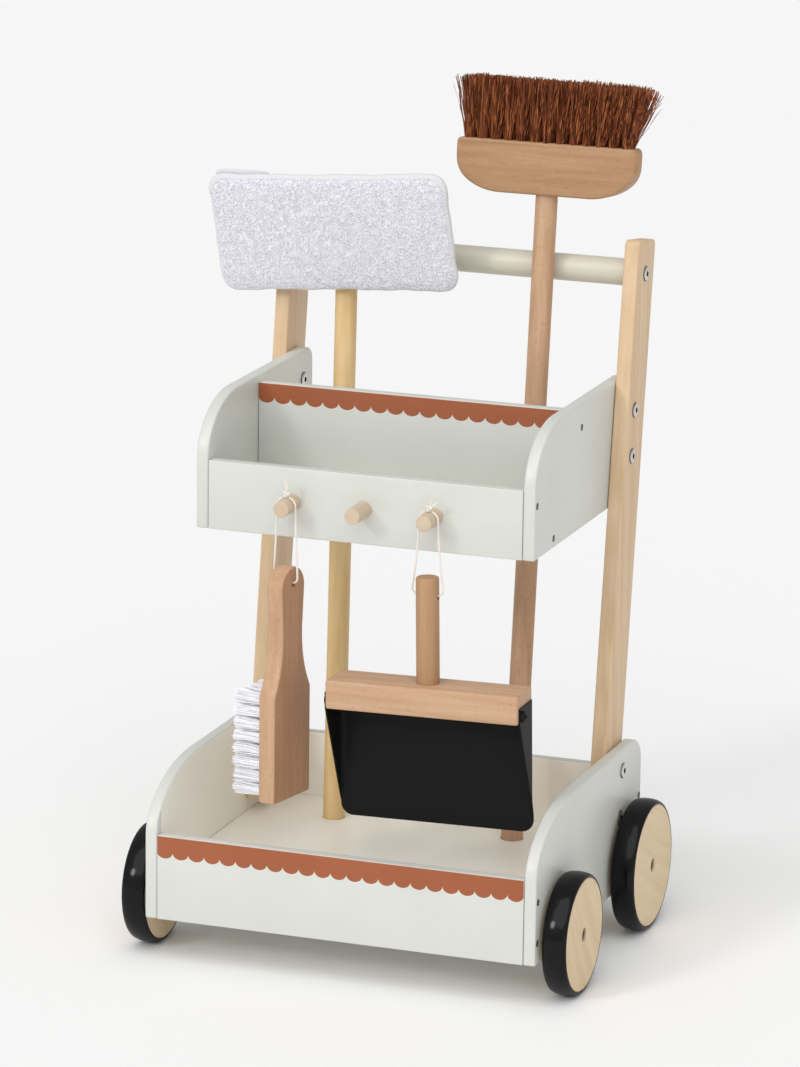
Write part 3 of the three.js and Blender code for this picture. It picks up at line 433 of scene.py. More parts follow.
def boxPoints(x0, x1, z0, z1):
    return [(x0, z0), (x1, z0), (x1, z1), (x0, z1)]


bands = {"lower_front_panel": {"count": 23, "straight": 0.0132, "drop": 0.0052},
         "upper_back_panel": {"count": 19, "straight": 0.0112, "drop": 0.0052}}


paintSkin = 0.0004


def bandOn(node):
    (left, front, _), (right, _, top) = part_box(node)
    look = bands[node]
    return {**look, "left": left, "pitch": (right - left) / look["count"], "top": top,
            "front": front + paintSkin, "edge": paintSkin}


# painted light: the lower tray's inner faces get a lighter, warmer cream where the upper tray shades them
trayInsidePaintedLight = {"middle": cartOrigin.x, "half": 0.1552, "front": cartOrigin.y + 0.0096,
              "back": cartOrigin.y + 0.2584, "tone": (0.955, 0.930, 0.850)}
wholeBar = {"middle": 0.0, "half": 1.0, "front": -1.0, "back": 1.0, "tone": (0.665, 0.635, 0.530)}
lowerPaintLitInside = paintFinish("lowerTrayPaintLitInside", inside=trayInsidePaintedLight)
barPaint = paintFinish("barPaint", inside=wholeBar)
for level, plain, inside in (("lower", lowerPaintLitInside, trayInsidePaintedLight), ("upper", paint, None)):
    tray = trays[level]
    for side, sign in sideSigns:
        inner, outer = sign * (tray["outer"] - trays["panel"]), sign * tray["outer"]
        bm = board(sidePoints(tray), min(inner, outer), max(inner, outer), "x", trays["edge"])
        put(level + "Side" + side.title(), fromBmesh("side", bm), plain, Matrix(), "cart", "cream_paint",
            f"{level}_side_{side}")
    half = tray["outer"] - trays["panel"] - trays["seat"]
    for label, y in (("front", tray["front"]), ("back", tray["backAt"])):
        node, name = f"{level}_{label}_panel", level + label.title()
        outline = boxPoints(-half, half, tray["foot"], tray["foot"] + tray[label + "Height"])
        bm = board(outline, y, y + trays["panel"], "y", trays["panelEdge"])
        finish = paintFinish(name + "Paint", bandOn(node), inside) if node in bands else plain
        put(name + "Panel", fromBmesh("panel", bm), finish, Matrix(), "cart", "cream_paint", node)
    dress(f"{level}_floor", plain)
print("trays made")

# posts and handlebar

posts = {"thick": 12.5, "depth": 44, "length": 488.2, "lean": 8.27, "footY": 192.7, "footZ": 83, "outer": 154.7,
         "round": 5, "edge": 1.4}
lean = math.radians(posts["lean"])
postPlace = move(0, posts["footY"], posts["footZ"]) @ Matrix.Rotation(-lean, 4, "X")
depth, turnIn = posts["depth"], posts["round"]
postPoints = [(0, 0), (depth, depth * math.tan(lean))]
for middle, start in ((depth - turnIn, 0), (turnIn, 90)):
    postPoints += arc(middle, posts["length"] - turnIn, turnIn, turnIn, start, start + 90, 6)
for side, sign in sideSigns:
    low = posts["outer"] - posts["thick"] if sign > 0 else -posts["outer"]
    bm = board(postPoints, low, low + posts["thick"], "x", posts["edge"])
    put("post" + side.title(), fromBmesh("post", bm), pine, postPlace, "cart", "pine", f"post_{side}")


def postY(z, ahead=0.0):
    across = posts["depth"] / 2 - ahead
    along = (z - posts["footZ"] + across * math.sin(lean)) / math.cos(lean)
    return posts["footY"] + across * math.cos(lean) + along * math.sin(lean)


bar = {"radius": 11, "z": 536, "half": 141.9, "edge": 0.5}
barPlace = move(0, postY(bar["z"]), bar["z"]) @ alongX
barRod = softRod(bar["radius"], -bar["half"], bar["half"], bar["edge"])
put("handlebar", latheMesh("bar", barRod), barPaint, barPlace, "cart", "cream_paint", "handlebar")
print("posts made")

# bolts and screws: one small turned head, set at each place

def socketHead(name, finish, radius, thick, crown, socket, depth, steps=24):
    bm = bmesh.new()
    paintedShade = bm.verts.layers.float.new("paintedShade")  # painted shade: near black in the socket and in the gap around the head
    shape = [(radius * 1.12, 0.02), (radius, 0.06), (radius, 0.2), (radius, thick - crown)]
    shape += [(radius - (radius - socket) * t, thick - crown * (1 - t) ** 2) for t in (0.15, 0.4, 0.75)]
    rings = [[(r, z)] * steps for r, z in shape]
    spin = [2 * math.pi * i / steps for i in range(steps)]
    hexagon = [socket / math.cos(a % (math.pi / 3) - math.pi / 6) * 0.93 for a in spin]
    rings += [[(r, z) for r in hexagon] for z in (thick, thick - 0.1, thick - depth)]
    rows = []
    for ring in rings:
        rows.append([bm.verts.new((z, r * math.cos(a), r * math.sin(a))) for a, (r, z) in zip(spin, ring)])
    for vert in (*rows[0], *rows[1], *rows[-2], *rows[-1]):
        vert[paintedShade] = 1.0
    stitch(bm, rows)
    bm.faces.new(rows[-1])
    bm.faces.new(list(reversed(rows[0])))
    return piece(name, fromBmesh(name, bm), finish, Matrix.Translation(-cartOrigin * 1000))


def headTree():
    tree, given = newTree("headsOnPlaces", Object=("Head",))
    node = partial(addNode, tree)
    info = node("GeometryNodeObjectInfo", {"Object": given["Head"]})
    facing = node("GeometryNodeInputNamedAttribute", {"Name": "facing"}, data_type="FLOAT_VECTOR")
    turn = node("FunctionNodeAlignRotationToVector", {"Vector": facing.outputs[0]}, axis="X")
    place = node("GeometryNodeInstanceOnPoints", {
        "Points": given["Geometry"], "Instance": info.outputs["Geometry"], "Rotation": turn.outputs[0]})
    real = node("GeometryNodeRealizeInstances", {0: place.outputs[0]})
    return endTree(tree, real.outputs[0], given["Finish"])


headsOnPlaces = headTree()


def setHeads(name, head, finish, places, body, slot, *nodes):
    base = bpy.data.meshes.new(name)
    base.from_pydata([toRow @ Vector(p) for p, _ in places], [], [])
    facing = base.attributes.new("facing", "FLOAT_VECTOR", "POINT")
    facing.data.foreach_set("vector", [c for _, f in places for c in f])
    mesh = grow(name, headsOnPlaces, base, {"Head": head, "Finish": finish})
    mesh.set_sharp_from_angle(angle=sharpAngle)
    ready(show(name, mesh), body, slot, *nodes)


boltPlaces = {"lower": [98, 136.5], "upper": [390.5, 427.5], "lowerFaces": (165.3, 141.9),
              "upperFaces": (155.0, 131.6), "barFace": 155.0, "ahead": 5}
boltSpots, boltNodes = [], []
for side, sign in sideSigns:
    for level in ("lower", "upper"):
        outer, inner = boltPlaces[level + "Faces"]
        for index, z in enumerate(boltPlaces[level]):
            y = postY(z, boltPlaces["ahead"])
            boltSpots.append(((sign * outer, y, z), (sign, 0, 0)))
            boltSpots.append(((sign * inner, y, z), (-sign, 0, 0)))
            boltNodes.append(f"{level}_bolt_{side}_{index + 1}")
    boltSpots.append(((sign * boltPlaces["barFace"], postY(bar["z"]), bar["z"]), (sign, 0, 0)))
    boltNodes.append(f"bar_screw_{side}")
boltHead = socketHead("boltHead", brightSteel, radius=5.7, thick=1.4, crown=0.8, socket=2.4, depth=1.1)
setHeads("cartBolts", boltHead, brightSteel, boltSpots, "cart", "bright_steel", *boltNodes)

# how far out the screws of each tray are, then their y and z
screwPlaces = ((141.8, ((162, 433), (54, 393), (96, 357.5))),
               (164.9, ((5, 87.5), (5, 54), (263, 103), (263, 60))))
screwSpots = []
for _, sign in sideSigns:
    for face, spots in screwPlaces:
        screwSpots += [((sign * face, y, z), (sign, 0, 0)) for y, z in spots]
screwHead = socketHead("screwHead", darkSteel, radius=2.9, thick=0.5, crown=0.3, socket=1.3, depth=0.45)
setHeads("panelScrews", screwHead, darkSteel, screwSpots, "cart", "bright_steel")

# wheels

wheels = {"gap": 3.2, "width": 20, "tyre": 4, "crown": 3.9, "bore": 4.3, "recess": 5.6, "recessDepth": 5,
          "edge": 0.6, "lip": 0.4, "seat": 0.3, "steps": 96,
          "front": {"radius": 49.5, "y": 53, "face": frontPly},
          "rear": {"radius": 54.3, "y": 232, "face": rearPly}}


def tyrePoints(radius, inner, steps=16):
    # fuller than a plain hoop: round shoulders that end in a thin ring beside the wooden face
    width, crown = wheels["width"], wheels["crown"]
    tread = []
    for i in range(steps + 1):
        a = math.pi * i / steps
        bulge = crown * math.sin(a) ** 0.75 if 0 < i < steps else 0.0
        tread.append((radius - crown + bulge, width / 2 * (1 - math.cos(a))))
    return [(inner, 0.2), *tread, (inner, width - 0.2), (inner, 0.2)]


def discPoints(disc, depth):
    bore, recess, width, edge, lip = (wheels[key] for key in ("bore", "recess", "width", "edge", "lip"))
    return [(bore, 0), (disc - edge, 0), (disc, edge), (disc, width - edge), (disc - edge, width),
            (recess + lip, width), (recess, width - lip), (recess, depth), (bore, depth), (bore, 0)]


hubSpots = []
for end in ("front", "rear"):
    for side, sign in sideSigns:
        radius, y, face = (wheels[end][key] for key in ("radius", "y", "face"))
        inner, depth = trays["lower"]["outer"] + wheels["gap"], wheels["width"] - wheels["recessDepth"]
        facing = alongX if sign > 0 else Matrix.Rotation(math.pi, 4, "Z") @ alongX
        place = move(sign * inner, y, radius) @ facing
        disc = radius - wheels["tyre"]
        body, name = f"{end}_{side}_wheel", end + side.title()
        mesh = latheMesh("disc", discPoints(disc, depth), wheels["steps"])
        put(name + "Disc", mesh, face, place, body, "wheel_wood", f"wheel_{end}_{side}")
        mesh = latheMesh("tyre", tyrePoints(radius, disc + wheels["seat"]), wheels["steps"])
        put(name + "Tyre", mesh, tyreBlack, place, body, "black_rubber", f"tyre_{end}_{side}")
        hubSpots.append(((sign * (inner + depth + wheels["seat"]), y, radius), (sign, 0, 0)))
        dress(f"axle_{end}_{side}", hubBrown)
hubHead = socketHead("hubHead", hubBrown, radius=4.6, thick=3.5, crown=1.2, socket=2.4, depth=2.2)
setHeads("hubBolts", hubHead, hubBrown, hubSpots, "cart", "bright_steel")
print("wheels made")

# pegs

pegs = {"radius": 6.5, "front": 22, "back": 54.6, "z": 378.2, "pitch": 59.5, "edge": 0.7, "steps": 40}
for name, x in (("left", -pegs["pitch"]), ("middle", 0), ("right", pegs["pitch"])):
    mesh = latheMesh("peg", softRod(pegs["radius"], pegs["front"], pegs["back"], pegs["edge"]), pegs["steps"])
    put("peg" + name.title(), mesh, beechY, move(x, 0, pegs["z"]) @ alongY, "cart", "beech", f"peg_{name}")

# bristles

def bristleTree():
    tree, given = newTree("bristleField", Int=("Columns", "Rows", "Strands", "Seed"),
                          Float=("Column Pitch", "Row Pitch", "Tuft Radius", "Length", "Ragged", "Splay Along",
                                 "Splay Across", "Stray", "Drift", "Flare", "Strand Radius", "Wave"))
    node, calc = partial(addNode, tree), partial(math2, tree)

    def span(count, pitch):
        return calc("MULTIPLY", calc("SUBTRACT", given[count], 1.0), given[pitch])

    grid = node("GeometryNodeMeshGrid", {
        "Size X": span("Columns", "Column Pitch"), "Size Y": span("Rows", "Row Pitch"),
        "Vertices X": given["Columns"], "Vertices Y": given["Rows"]})
    points = node("GeometryNodeMeshToPoints", {"Mesh": grid.outputs["Mesh"]})
    sockets = {"Geometry": points.outputs[0], "Amount": given["Strands"]}
    many = node("GeometryNodeDuplicateElements", sockets, domain="POINT")
    index = node("GeometryNodeInputIndex").outputs[0]

    def chance(low, high, shift):
        sockets = {2: low, 3: high, "ID": index, "Seed": calc("ADD", given["Seed"], shift)}
        return node("FunctionNodeRandomValue", sockets, data_type="FLOAT").outputs[1]

    angle = chance(0.0, 2 * math.pi, 1.0)
    reach = calc("SQRT", chance(0.0, 1.0, 2.0))
    across = calc("MULTIPLY", calc("COSINE", angle), reach)
    along = calc("MULTIPLY", calc("SINE", angle), reach)
    spot = node("GeometryNodeInputPosition").outputs[0]
    spotX, spotY, spotZ = node("ShaderNodeSeparateXYZ", {0: spot}).outputs
    shorter = calc("MULTIPLY", chance(0.0, 1.0, 3.0), given["Ragged"])

    def lean(middle, part, splay, shift):
        # with the tuft's place in the field, the strand's place in the tuft and a little chance
        flare = calc("MULTIPLY", given["Tuft Radius"], given["Flare"])
        fixed = calc("MULTIPLY_ADD", part, flare, calc("MULTIPLY", middle, given[splay]))
        return calc("MULTIPLY_ADD", chance(-1.0, 1.0, shift), given["Stray"], fixed)

    heading = node("ShaderNodeCombineXYZ", {
        0: calc("ADD", lean(spotX, across, "Splay Along", 4.0), given["Drift"]),
        1: lean(spotY, along, "Splay Across", 5.0), 2: given["Length"]})
    step = node("ShaderNodeCombineXYZ", {0: calc("MULTIPLY", across, given["Tuft Radius"]),
                                         1: calc("MULTIPLY", along, given["Tuft Radius"])})
    sockets = {"Name": "heading", "Geometry": many.outputs[0], "Value": heading.outputs[0]}
    aim = node("GeometryNodeStoreNamedAttribute", sockets, data_type="FLOAT_VECTOR", domain="POINT")
    spread = node("GeometryNodeSetPosition", {"Geometry": aim.outputs[0], "Offset": step.outputs[0]})
    strand = node("GeometryNodeMeshCone", {
        "Vertices": 4, "Side Segments": 4, "Radius Bottom": given["Strand Radius"],
        "Radius Top": calc("MULTIPLY", given["Strand Radius"], 0.6), "Depth": 1.0})
    named = node("GeometryNodeInputNamedAttribute", {"Name": "heading"}, data_type="FLOAT_VECTOR")
    turn = node("FunctionNodeAlignRotationToVector", {"Vector": named.outputs[0]}, axis="Z")
    tall = node("ShaderNodeCombineXYZ", {0: 1.0, 1: 1.0, 2: calc("SUBTRACT", given["Length"], shorter)})
    place = node("GeometryNodeInstanceOnPoints", {
        "Points": spread.outputs[0], "Instance": strand.outputs["Mesh"], "Rotation": turn.outputs[0],
        "Scale": tall.outputs[0]})
    real = node("GeometryNodeRealizeInstances", {0: place.outputs[0]})
    # the fibres wander more towards their tips
    noise = node("ShaderNodeTexNoise", {"Scale": 0.09, "Vector": spot})
    sockets = {0: noise.outputs["Color"], 1: (0.5, 0.5, 0.5)}
    centred = node("ShaderNodeVectorMath", sockets, operation="SUBTRACT")
    share = calc("MULTIPLY", calc("DIVIDE", spotZ, given["Length"]), given["Wave"])
    sway = node("ShaderNodeVectorMath", {0: centred.outputs[0], "Scale": share}, operation="SCALE")
    bend = node("GeometryNodeSetPosition", {"Geometry": real.outputs[0], "Offset": sway.outputs[0]})
    return endTree(tree, bend.outputs[0], given["Finish"])


bristleField = bristleTree()


def setBristles(name, look, finish, place, body, slot, *nodes):
    base = bpy.data.meshes.new(name + "Seed")
    base.from_pydata([(0, 0, 0)], [], [])
    mesh = grow(name, bristleField, base, {**look, "Finish": finish})
    put(name, mesh, finish, place, body, slot, *nodes, smooth=80)


# mop

def framed(origin, zAxis, xAxis):
    z = Vector(zAxis).normalized()
    x = (Vector(xAxis) - z * Vector(xAxis).dot(z)).normalized()
    y = z.cross(x)
    rows = [(x[i], y[i], z[i], origin[i]) for i in range(3)]
    return Matrix((*rows, (0, 0, 0, 1)))


mop = {"x": -82, "footY": 208, "floor": 71, "socket": 7, "radius": 9, "edge": 0.8, "pivot": 497, "ear": 24,
       "hinge": 7, "capHeight": 14, "plateHeight": 92, "plateThick": 5, "roll": -2.8, "padWidth": 209,
       "padHeight": 102.5, "padShift": -1.5, "round": 15, "drawIn": 1.4, "seat": 0.3}
pinAxis = [-c for c in joints["mop_head_tilt"]["axis"]]
mopPlace = framed((mop["x"], mop["footY"], mop["floor"]), joints["mop_lift"]["axis"], pinAxis)
halfPlate = mop["plateHeight"] / 2
tilt = math.acos((mop["radius"] + mop["seat"]) / math.hypot(mop["ear"], halfPlate))
tilt -= math.atan2(halfPlate, mop["ear"])
capTop = mop["pivot"] - mop["radius"] * math.tan(tilt) - mop["hinge"] / math.cos(tilt) - mop["seat"]
mopRod = softRod(mop["radius"], -mop["socket"], capTop - mop["capHeight"], mop["edge"])
put("mopPole", latheMesh("pole", mopRod), mopPine, mopPlace, "mop", "pine", "mop_pole")
softCopy("mopCap", "mop_cap", greyPlastic, 0.5, "mop", "grey_plastic")
softCopy("mopPlate", "mop_plate", greyPlastic, 0.7, "mop_head", "grey_plastic")
dress("mop_hinge_pin", brightSteel)

headPlace = mopPlace @ move(0, 0, mop["pivot"]) @ Matrix.Rotation(tilt, 4, "X")
headPlace = headPlace @ Matrix.Rotation(math.radians(mop["roll"]), 4, "Y")
padBack = -mop["ear"] - mop["plateThick"] - mop["seat"]
padPlace = headPlace @ move(mop["padShift"], padBack, 0)


def rimPoints(count):
    w, h, r = mop["padWidth"] / 2, mop["padHeight"] / 2, mop["round"]
    corners = []
    for cx, cy, a in ((w - r, h - r, 0), (-w + r, h - r, 90), (-w + r, -h + r, 180), (w - r, -h + r, 270)):
        corners += arc(cx, cy, r, r, a, a + 90, 12)
    total = [0.0]
    for (x0, y0), (x1, y1) in zip(corners, corners[1:] + corners[:1]):
        total.append(total[-1] + math.hypot(x1 - x0, y1 - y0))
    loop = corners + corners[:1]
    points = []
    for i in range(count):
        goal = total[-1] * i / count
        k = max(j for j in range(len(corners)) if total[j] <= goal)
        t = (goal - total[k]) / max(total[k + 1] - total[k], 1e-9)
        x = loop[k][0] + (loop[k + 1][0] - loop[k][0]) * t
        y = loop[k][1] + (loop[k + 1][1] - loop[k][1]) * t
        # the sewn edge isn't quite straight
        ripple = 0.35 * math.sin(goal * 0.11) + 0.25 * math.sin(goal * 0.27 + 1.3)
        pullX = (mop["drawIn"] * (1 - (y / h) ** 2) + ripple) * abs(x / w) ** 6
        pullY = (mop["drawIn"] * (1 - (x / w) ** 2) + ripple) * abs(y / h) ** 6
        points.append((x - math.copysign(pullX, x), y - math.copysign(pullY, y)))
    return points


def padRows(bm, rim, section):
    w, h = mop["padWidth"] / 2, mop["padHeight"] / 2
    return [[bm.verts.new((x * (1 - d / w), y, z * (1 - d / h))) for x, z in rim] for d, y in section]


def padMesh(count=150):
    bm = bmesh.new()
    section = [(2, -0.3), (2, -3.5), (3.2, -5.0), (5, -5.9), (9, -6.7), (16, -7.2), (30, -7.4), (46, -7.5)]
    rows = padRows(bm, rimPoints(count), section)
    stitch(bm, rows)
    bm.faces.new(rows[0])
    bm.faces.new(rows[-1])
    return fromBmesh("padBase", bm)


def bindingMesh(count=150):
    bm = bmesh.new()
    section = [(1.4, 0), (0.3, -0.8), (0, -2.2), (0.4, -3.6), (1.3, -4.6), (2.6, -5.2), (4.0, -5.4),
               (4.6, -4.6), (4.6, -0.2), (3.0, 0)]
    rows = padRows(bm, rimPoints(count), section)
    stitch(bm, rows + rows[:1])
    return fromBmesh("binding", bm)


def terryTree():
    tree, given = newTree("terryLoops", Float=("Density", "Loop Radius", "Yarn Radius"), Int=("Seed",))
    node, calc = partial(addNode, tree), partial(math2, tree)
    normal = node("ShaderNodeSeparateXYZ", {0: node("GeometryNodeInputNormal").outputs[0]})
    scatter = node("GeometryNodeDistributePointsOnFaces", {
        "Mesh": given["Geometry"], "Density": given["Density"], "Seed": given["Seed"],
        "Selection": calc("LESS_THAN", normal.outputs[1], -0.6)}, distribute_method="RANDOM")
    loop = node("GeometryNodeCurveArc", {
        "Resolution": 3, "Sweep Angle": math.pi, "Radius": given["Loop Radius"]})
    yarn = node("GeometryNodeCurvePrimitiveCircle", {"Resolution": 3, "Radius": given["Yarn Radius"]})
    tube = node("GeometryNodeCurveToMesh", {
        "Curve": loop.outputs["Curve"], "Profile Curve": yarn.outputs["Curve"]})
    upright = node("GeometryNodeTransform", {"Geometry": tube.outputs[0], "Rotation": (math.pi / 2, 0, 0)})
    sockets = {0: (-0.7, -0.7, -math.pi), 1: (0.7, 0.7, math.pi), "Seed": given["Seed"]}
    spin = node("FunctionNodeRandomValue", sockets, data_type="FLOAT_VECTOR")
    euler = node("FunctionNodeEulerToRotation", {0: spin.outputs[0]})
    sockets = {0: scatter.outputs["Rotation"], 1: euler.outputs[0]}
    turn = node("FunctionNodeRotateRotation", sockets, rotation_space="LOCAL")
    sockets = {2: 0.7, 3: 1.25, "Seed": calc("ADD", given["Seed"], 1.0)}
    size = node("FunctionNodeRandomValue", sockets, data_type="FLOAT")
    place = node("GeometryNodeInstanceOnPoints", {
        "Points": scatter.outputs["Points"], "Instance": upright.outputs[0], "Rotation": turn.outputs[0],
        "Scale": size.outputs[1]})
    joined = node("GeometryNodeJoinGeometry", {0: given["Geometry"]})
    tree.links.new(place.outputs[0], joined.inputs[0])
    real = node("GeometryNodeRealizeInstances", {0: joined.outputs[0]})
    return endTree(tree, real.outputs[0], given["Finish"])


terry = {"Density": 0.74, "Loop Radius": 0.86, "Yarn Radius": 0.35, "Seed": 5}
mesh = grow("mopPad", terryTree(), padMesh(), {**terry, "Finish": terryWhite})
made = put("mopPad", mesh, terryWhite, padPlace, "mop_head", "white_terry", "mop_pad", smooth=80)
put("padBinding", bindingMesh(), bindingWhite, padPlace, "mop_head", "white_terry", smooth=60)
# a corner of the pad's back pocket stands above its top edge
fold = [(-97, 47.5), (-48, 47.5), (-52, 51.2), (-62, 52.6), (-90, 53.8), (-95, 53.2), (-97, 51.0)]
mesh = fromBmesh("fold", board(fold, 0.4, 1.8, "y", 0.5))
put("padFold", mesh, bindingWhite, padPlace, "mop_head", "white_terry", smooth=60)
print("mop made")

# broom

broom = {"x": 74, "reach": 529.0, "poleIn": 14, "width": 155, "height": 42.5, "thick": 24, "end": 12, "run": 40,
         "edge": 2.2, "corner": 6, "endRound": 10, "endThin": 0.88, "rootIn": 0.5}
broomPlace = framed((broom["x"], mop["footY"], mop["floor"]), joints["broom_lift"]["axis"], (1, 0, 0))
broomRod = softRod(mop["radius"], -mop["socket"], broom["reach"] + broom["poleIn"], mop["edge"])
put("broomPole", latheMesh("pole", broomRod), beechZ, broomPlace, "broom", "beech", "broom_pole")
half, top = broom["width"] / 2, broom["reach"] + broom["height"]
corner, run, low = broom["corner"], broom["run"], top - broom["end"]
sweepRise = broom["height"] - broom["end"]
headPoints = arc(-half + corner, top - corner, corner, corner, 90, 180, 8)
headPoints += arc(-half + run, low, run, sweepRise, 180, 270, 22)
headPoints += arc(half - run, low, run, sweepRise, 270, 360, 22)
headPoints += arc(half - corner, top - corner, corner, corner, 0, 90, 8)
bm = board(headPoints, -broom["thick"] / 2, broom["thick"] / 2, "y", broom["edge"])
# seen from above, the head's ends are round
for vert in bm.verts:
    past = max(0.0, abs(vert.co.x) - half + broom["endRound"]) / broom["endRound"]
    vert.co.y *= math.sqrt(1 - broom["endThin"] * min(past, 1.0) ** 2)
put("broomHead", fromBmesh("head", bm), broomBeech, broomPlace, "broom", "beech", "broom_head")
broomLook = {"Columns": 13, "Rows": 3, "Strands": 72, "Drift": 6.5, "Seed": 7, "Column Pitch": 11.05,
             "Row Pitch": 6.8, "Tuft Radius": 3.5, "Length": 52.0, "Ragged": 3.0, "Splay Along": 0.1,
             "Splay Across": 0.4, "Stray": 6.5, "Flare": 1.5, "Strand Radius": 0.40, "Wave": 7.0}
rootPlace = broomPlace @ move(0, 0, top - broom["rootIn"])
setBristles("broomBristles", broomLook, coirBrown, rootPlace, "broom", "brown_coir", "broom_bristles")
# a few fibres stand out at both ends
strayLook = {**broomLook, "Columns": 2, "Rows": 2, "Strands": 16, "Column Pitch": 134.0, "Row Pitch": 12.0,
             "Splay Along": 0.12, "Drift": 8.0, "Ragged": 14.0, "Stray": 17.0, "Strand Radius": 0.26,
             "Wave": 16.0, "Seed": 19}
setBristles("broomStrays", strayLook, coirBrown, rootPlace, "broom", "brown_coir")
print("broom made")

# hand brush

brush = {"x": -59.5, "y": 34, "z": 316.0, "turn": -12, "thick": 15, "width": 53, "below": 176, "above": 14,
         "handle": 17, "neck": 14.5, "neckDrop": 38, "neckPull": 18, "shoulderDrop": 88, "flareIn": 10,
         "flareRise": 19, "edge": 2.2, "hole": 2.6, "rootRise": 8, "rootIn": 0.5}
brushPlace = move(brush["x"], brush["y"], brush["z"]) @ Matrix.Rotation(math.radians(brush["turn"]), 4, "Z")


def bezier(a, b, c, d, steps=18):
    points = []
    for i in range(1, steps + 1):
        t = i / steps
        weights = ((1 - t) ** 3, 3 * t * (1 - t) ** 2, 3 * t * t * (1 - t), t ** 3)
        points.append(tuple(sum(w * p[k] for w, p in zip(weights, (a, b, c, d))) for k in range(2)))
    return points


def drill(made, place, radius, length=20):
    profile = [(0, -length), (radius, -length), (radius, length), (0, length)]
    tool = piece("drill", latheMesh("drill", profile, 24), made.data.materials[0], place)
    cut = made.modifiers.new("hole", "BOOLEAN")
    cut.object, cut.operation, cut.solver = tool, "DIFFERENCE", "EXACT"
    mesh = evaluated(made)
    made.modifiers.remove(cut)
    made.data = mesh
    mesh.set_sharp_from_angle(angle=sharpAngle)
    bpy.data.objects.remove(tool)


half, foot = brush["width"] / 2, -brush["below"]
crown = brush["above"] - brush["handle"]
shoulder, neck = (half, -brush["shoulderDrop"]), (brush["neck"], -brush["neckDrop"])
flare = (half - brush["flareIn"], -brush["shoulderDrop"] + brush["flareRise"])
right = [shoulder, *bezier(shoulder, flare, (brush["neck"], -brush["neckDrop"] - brush["neckPull"]), neck)]
left = [(-u, v) for u, v in reversed(right)]
top = arc(0, crown, brush["handle"], brush["handle"], 0, 180, 24)
points = [(half, foot), *right, *top, *left, (-half, foot)]
bm = board(points, -brush["thick"] / 2, brush["thick"] / 2, "x", brush["edge"])
broad = brushPlace.to_3x3() @ Vector((1, 0, 0))
broadFace = {"normal": broad, "middle": broad.dot(toRow @ brushPlace.translation),
             "half": brush["thick"] / 2000 - paintSkin, "tone": (0.80, 0.70, 0.62)}
brushBeech = woodFinish("brushBeech", *beechTones, grainZ, 0.3, face=broadFace)
made = piece("brushBlock", fromBmesh("block", bm), brushBeech, brushPlace)
drill(made, brushPlace @ alongX, brush["hole"])
ready(made, "hand_brush", "beech", "brush_block")
brushLook = {"Columns": 8, "Rows": 4, "Strands": 110, "Drift": 0.0, "Seed": 11, "Column Pitch": 10.6,
             "Row Pitch": 10.8, "Tuft Radius": 4.2, "Length": 29.0, "Ragged": 2.0, "Splay Along": 0.0,
             "Splay Across": 0.0, "Stray": 1.3, "Flare": 0.3, "Strand Radius": 0.34, "Wave": 1.6}
middle = foot + brush["rootRise"] + (brushLook["Columns"] - 1) * brushLook["Column Pitch"] / 2
rootPlace = brushPlace @ move(-brush["thick"] / 2 + brush["rootIn"], 0, middle)
rootPlace = rootPlace @ Matrix.Rotation(-math.pi / 2, 4, "Y")
setBristles("brushBristles", brushLook, nylonWhite, rootPlace, "hand_brush", "white_nylon", "brush_bristles")
print("hand brush made")

# dustpan

pan = {"x": 59.5, "y": 34, "z": 317.5, "tilt": -1.2, "handle": 9.25, "handleTop": 15.5, "handleIn": 12,
       "handleEdge": 1.6, "hole": 2.6, "blockTop": -70.5, "blockHeight": 23.5, "width": 160, "depth": 36,
       "edge": 1.8, "screwRise": 6, "screwSet": 7.7, "screwOut": 1.6}
panPlace = move(pan["x"], pan["y"], pan["z"]) @ Matrix.Rotation(math.radians(pan["tilt"]), 4, "Y")
panRod = softRod(pan["handle"], pan["blockTop"] - pan["handleIn"], pan["handleTop"], pan["handleEdge"])
made = piece("panHandle", latheMesh("handle", panRod), handleBeech, panPlace)
drill(made, panPlace @ alongX, pan["hole"])
ready(made, "dustpan", "beech", "pan_handle")
blockFoot = pan["blockTop"] - pan["blockHeight"]
outline = boxPoints(-pan["width"] / 2, pan["width"] / 2, blockFoot, pan["blockTop"])
bm = board(outline, -pan["depth"] / 2, pan["depth"] / 2, "y", pan["edge"])
put("panBlock", fromBmesh("panBlock", bm), beechX, panPlace, "dustpan", "beech", "pan_block")
sheet = {"gauge": 1.2, "bend": 6.0, "ear": 13, "earSet": 3.2, "drape": 96.5, "lipRound": 10, "wallFoot": 11.5}


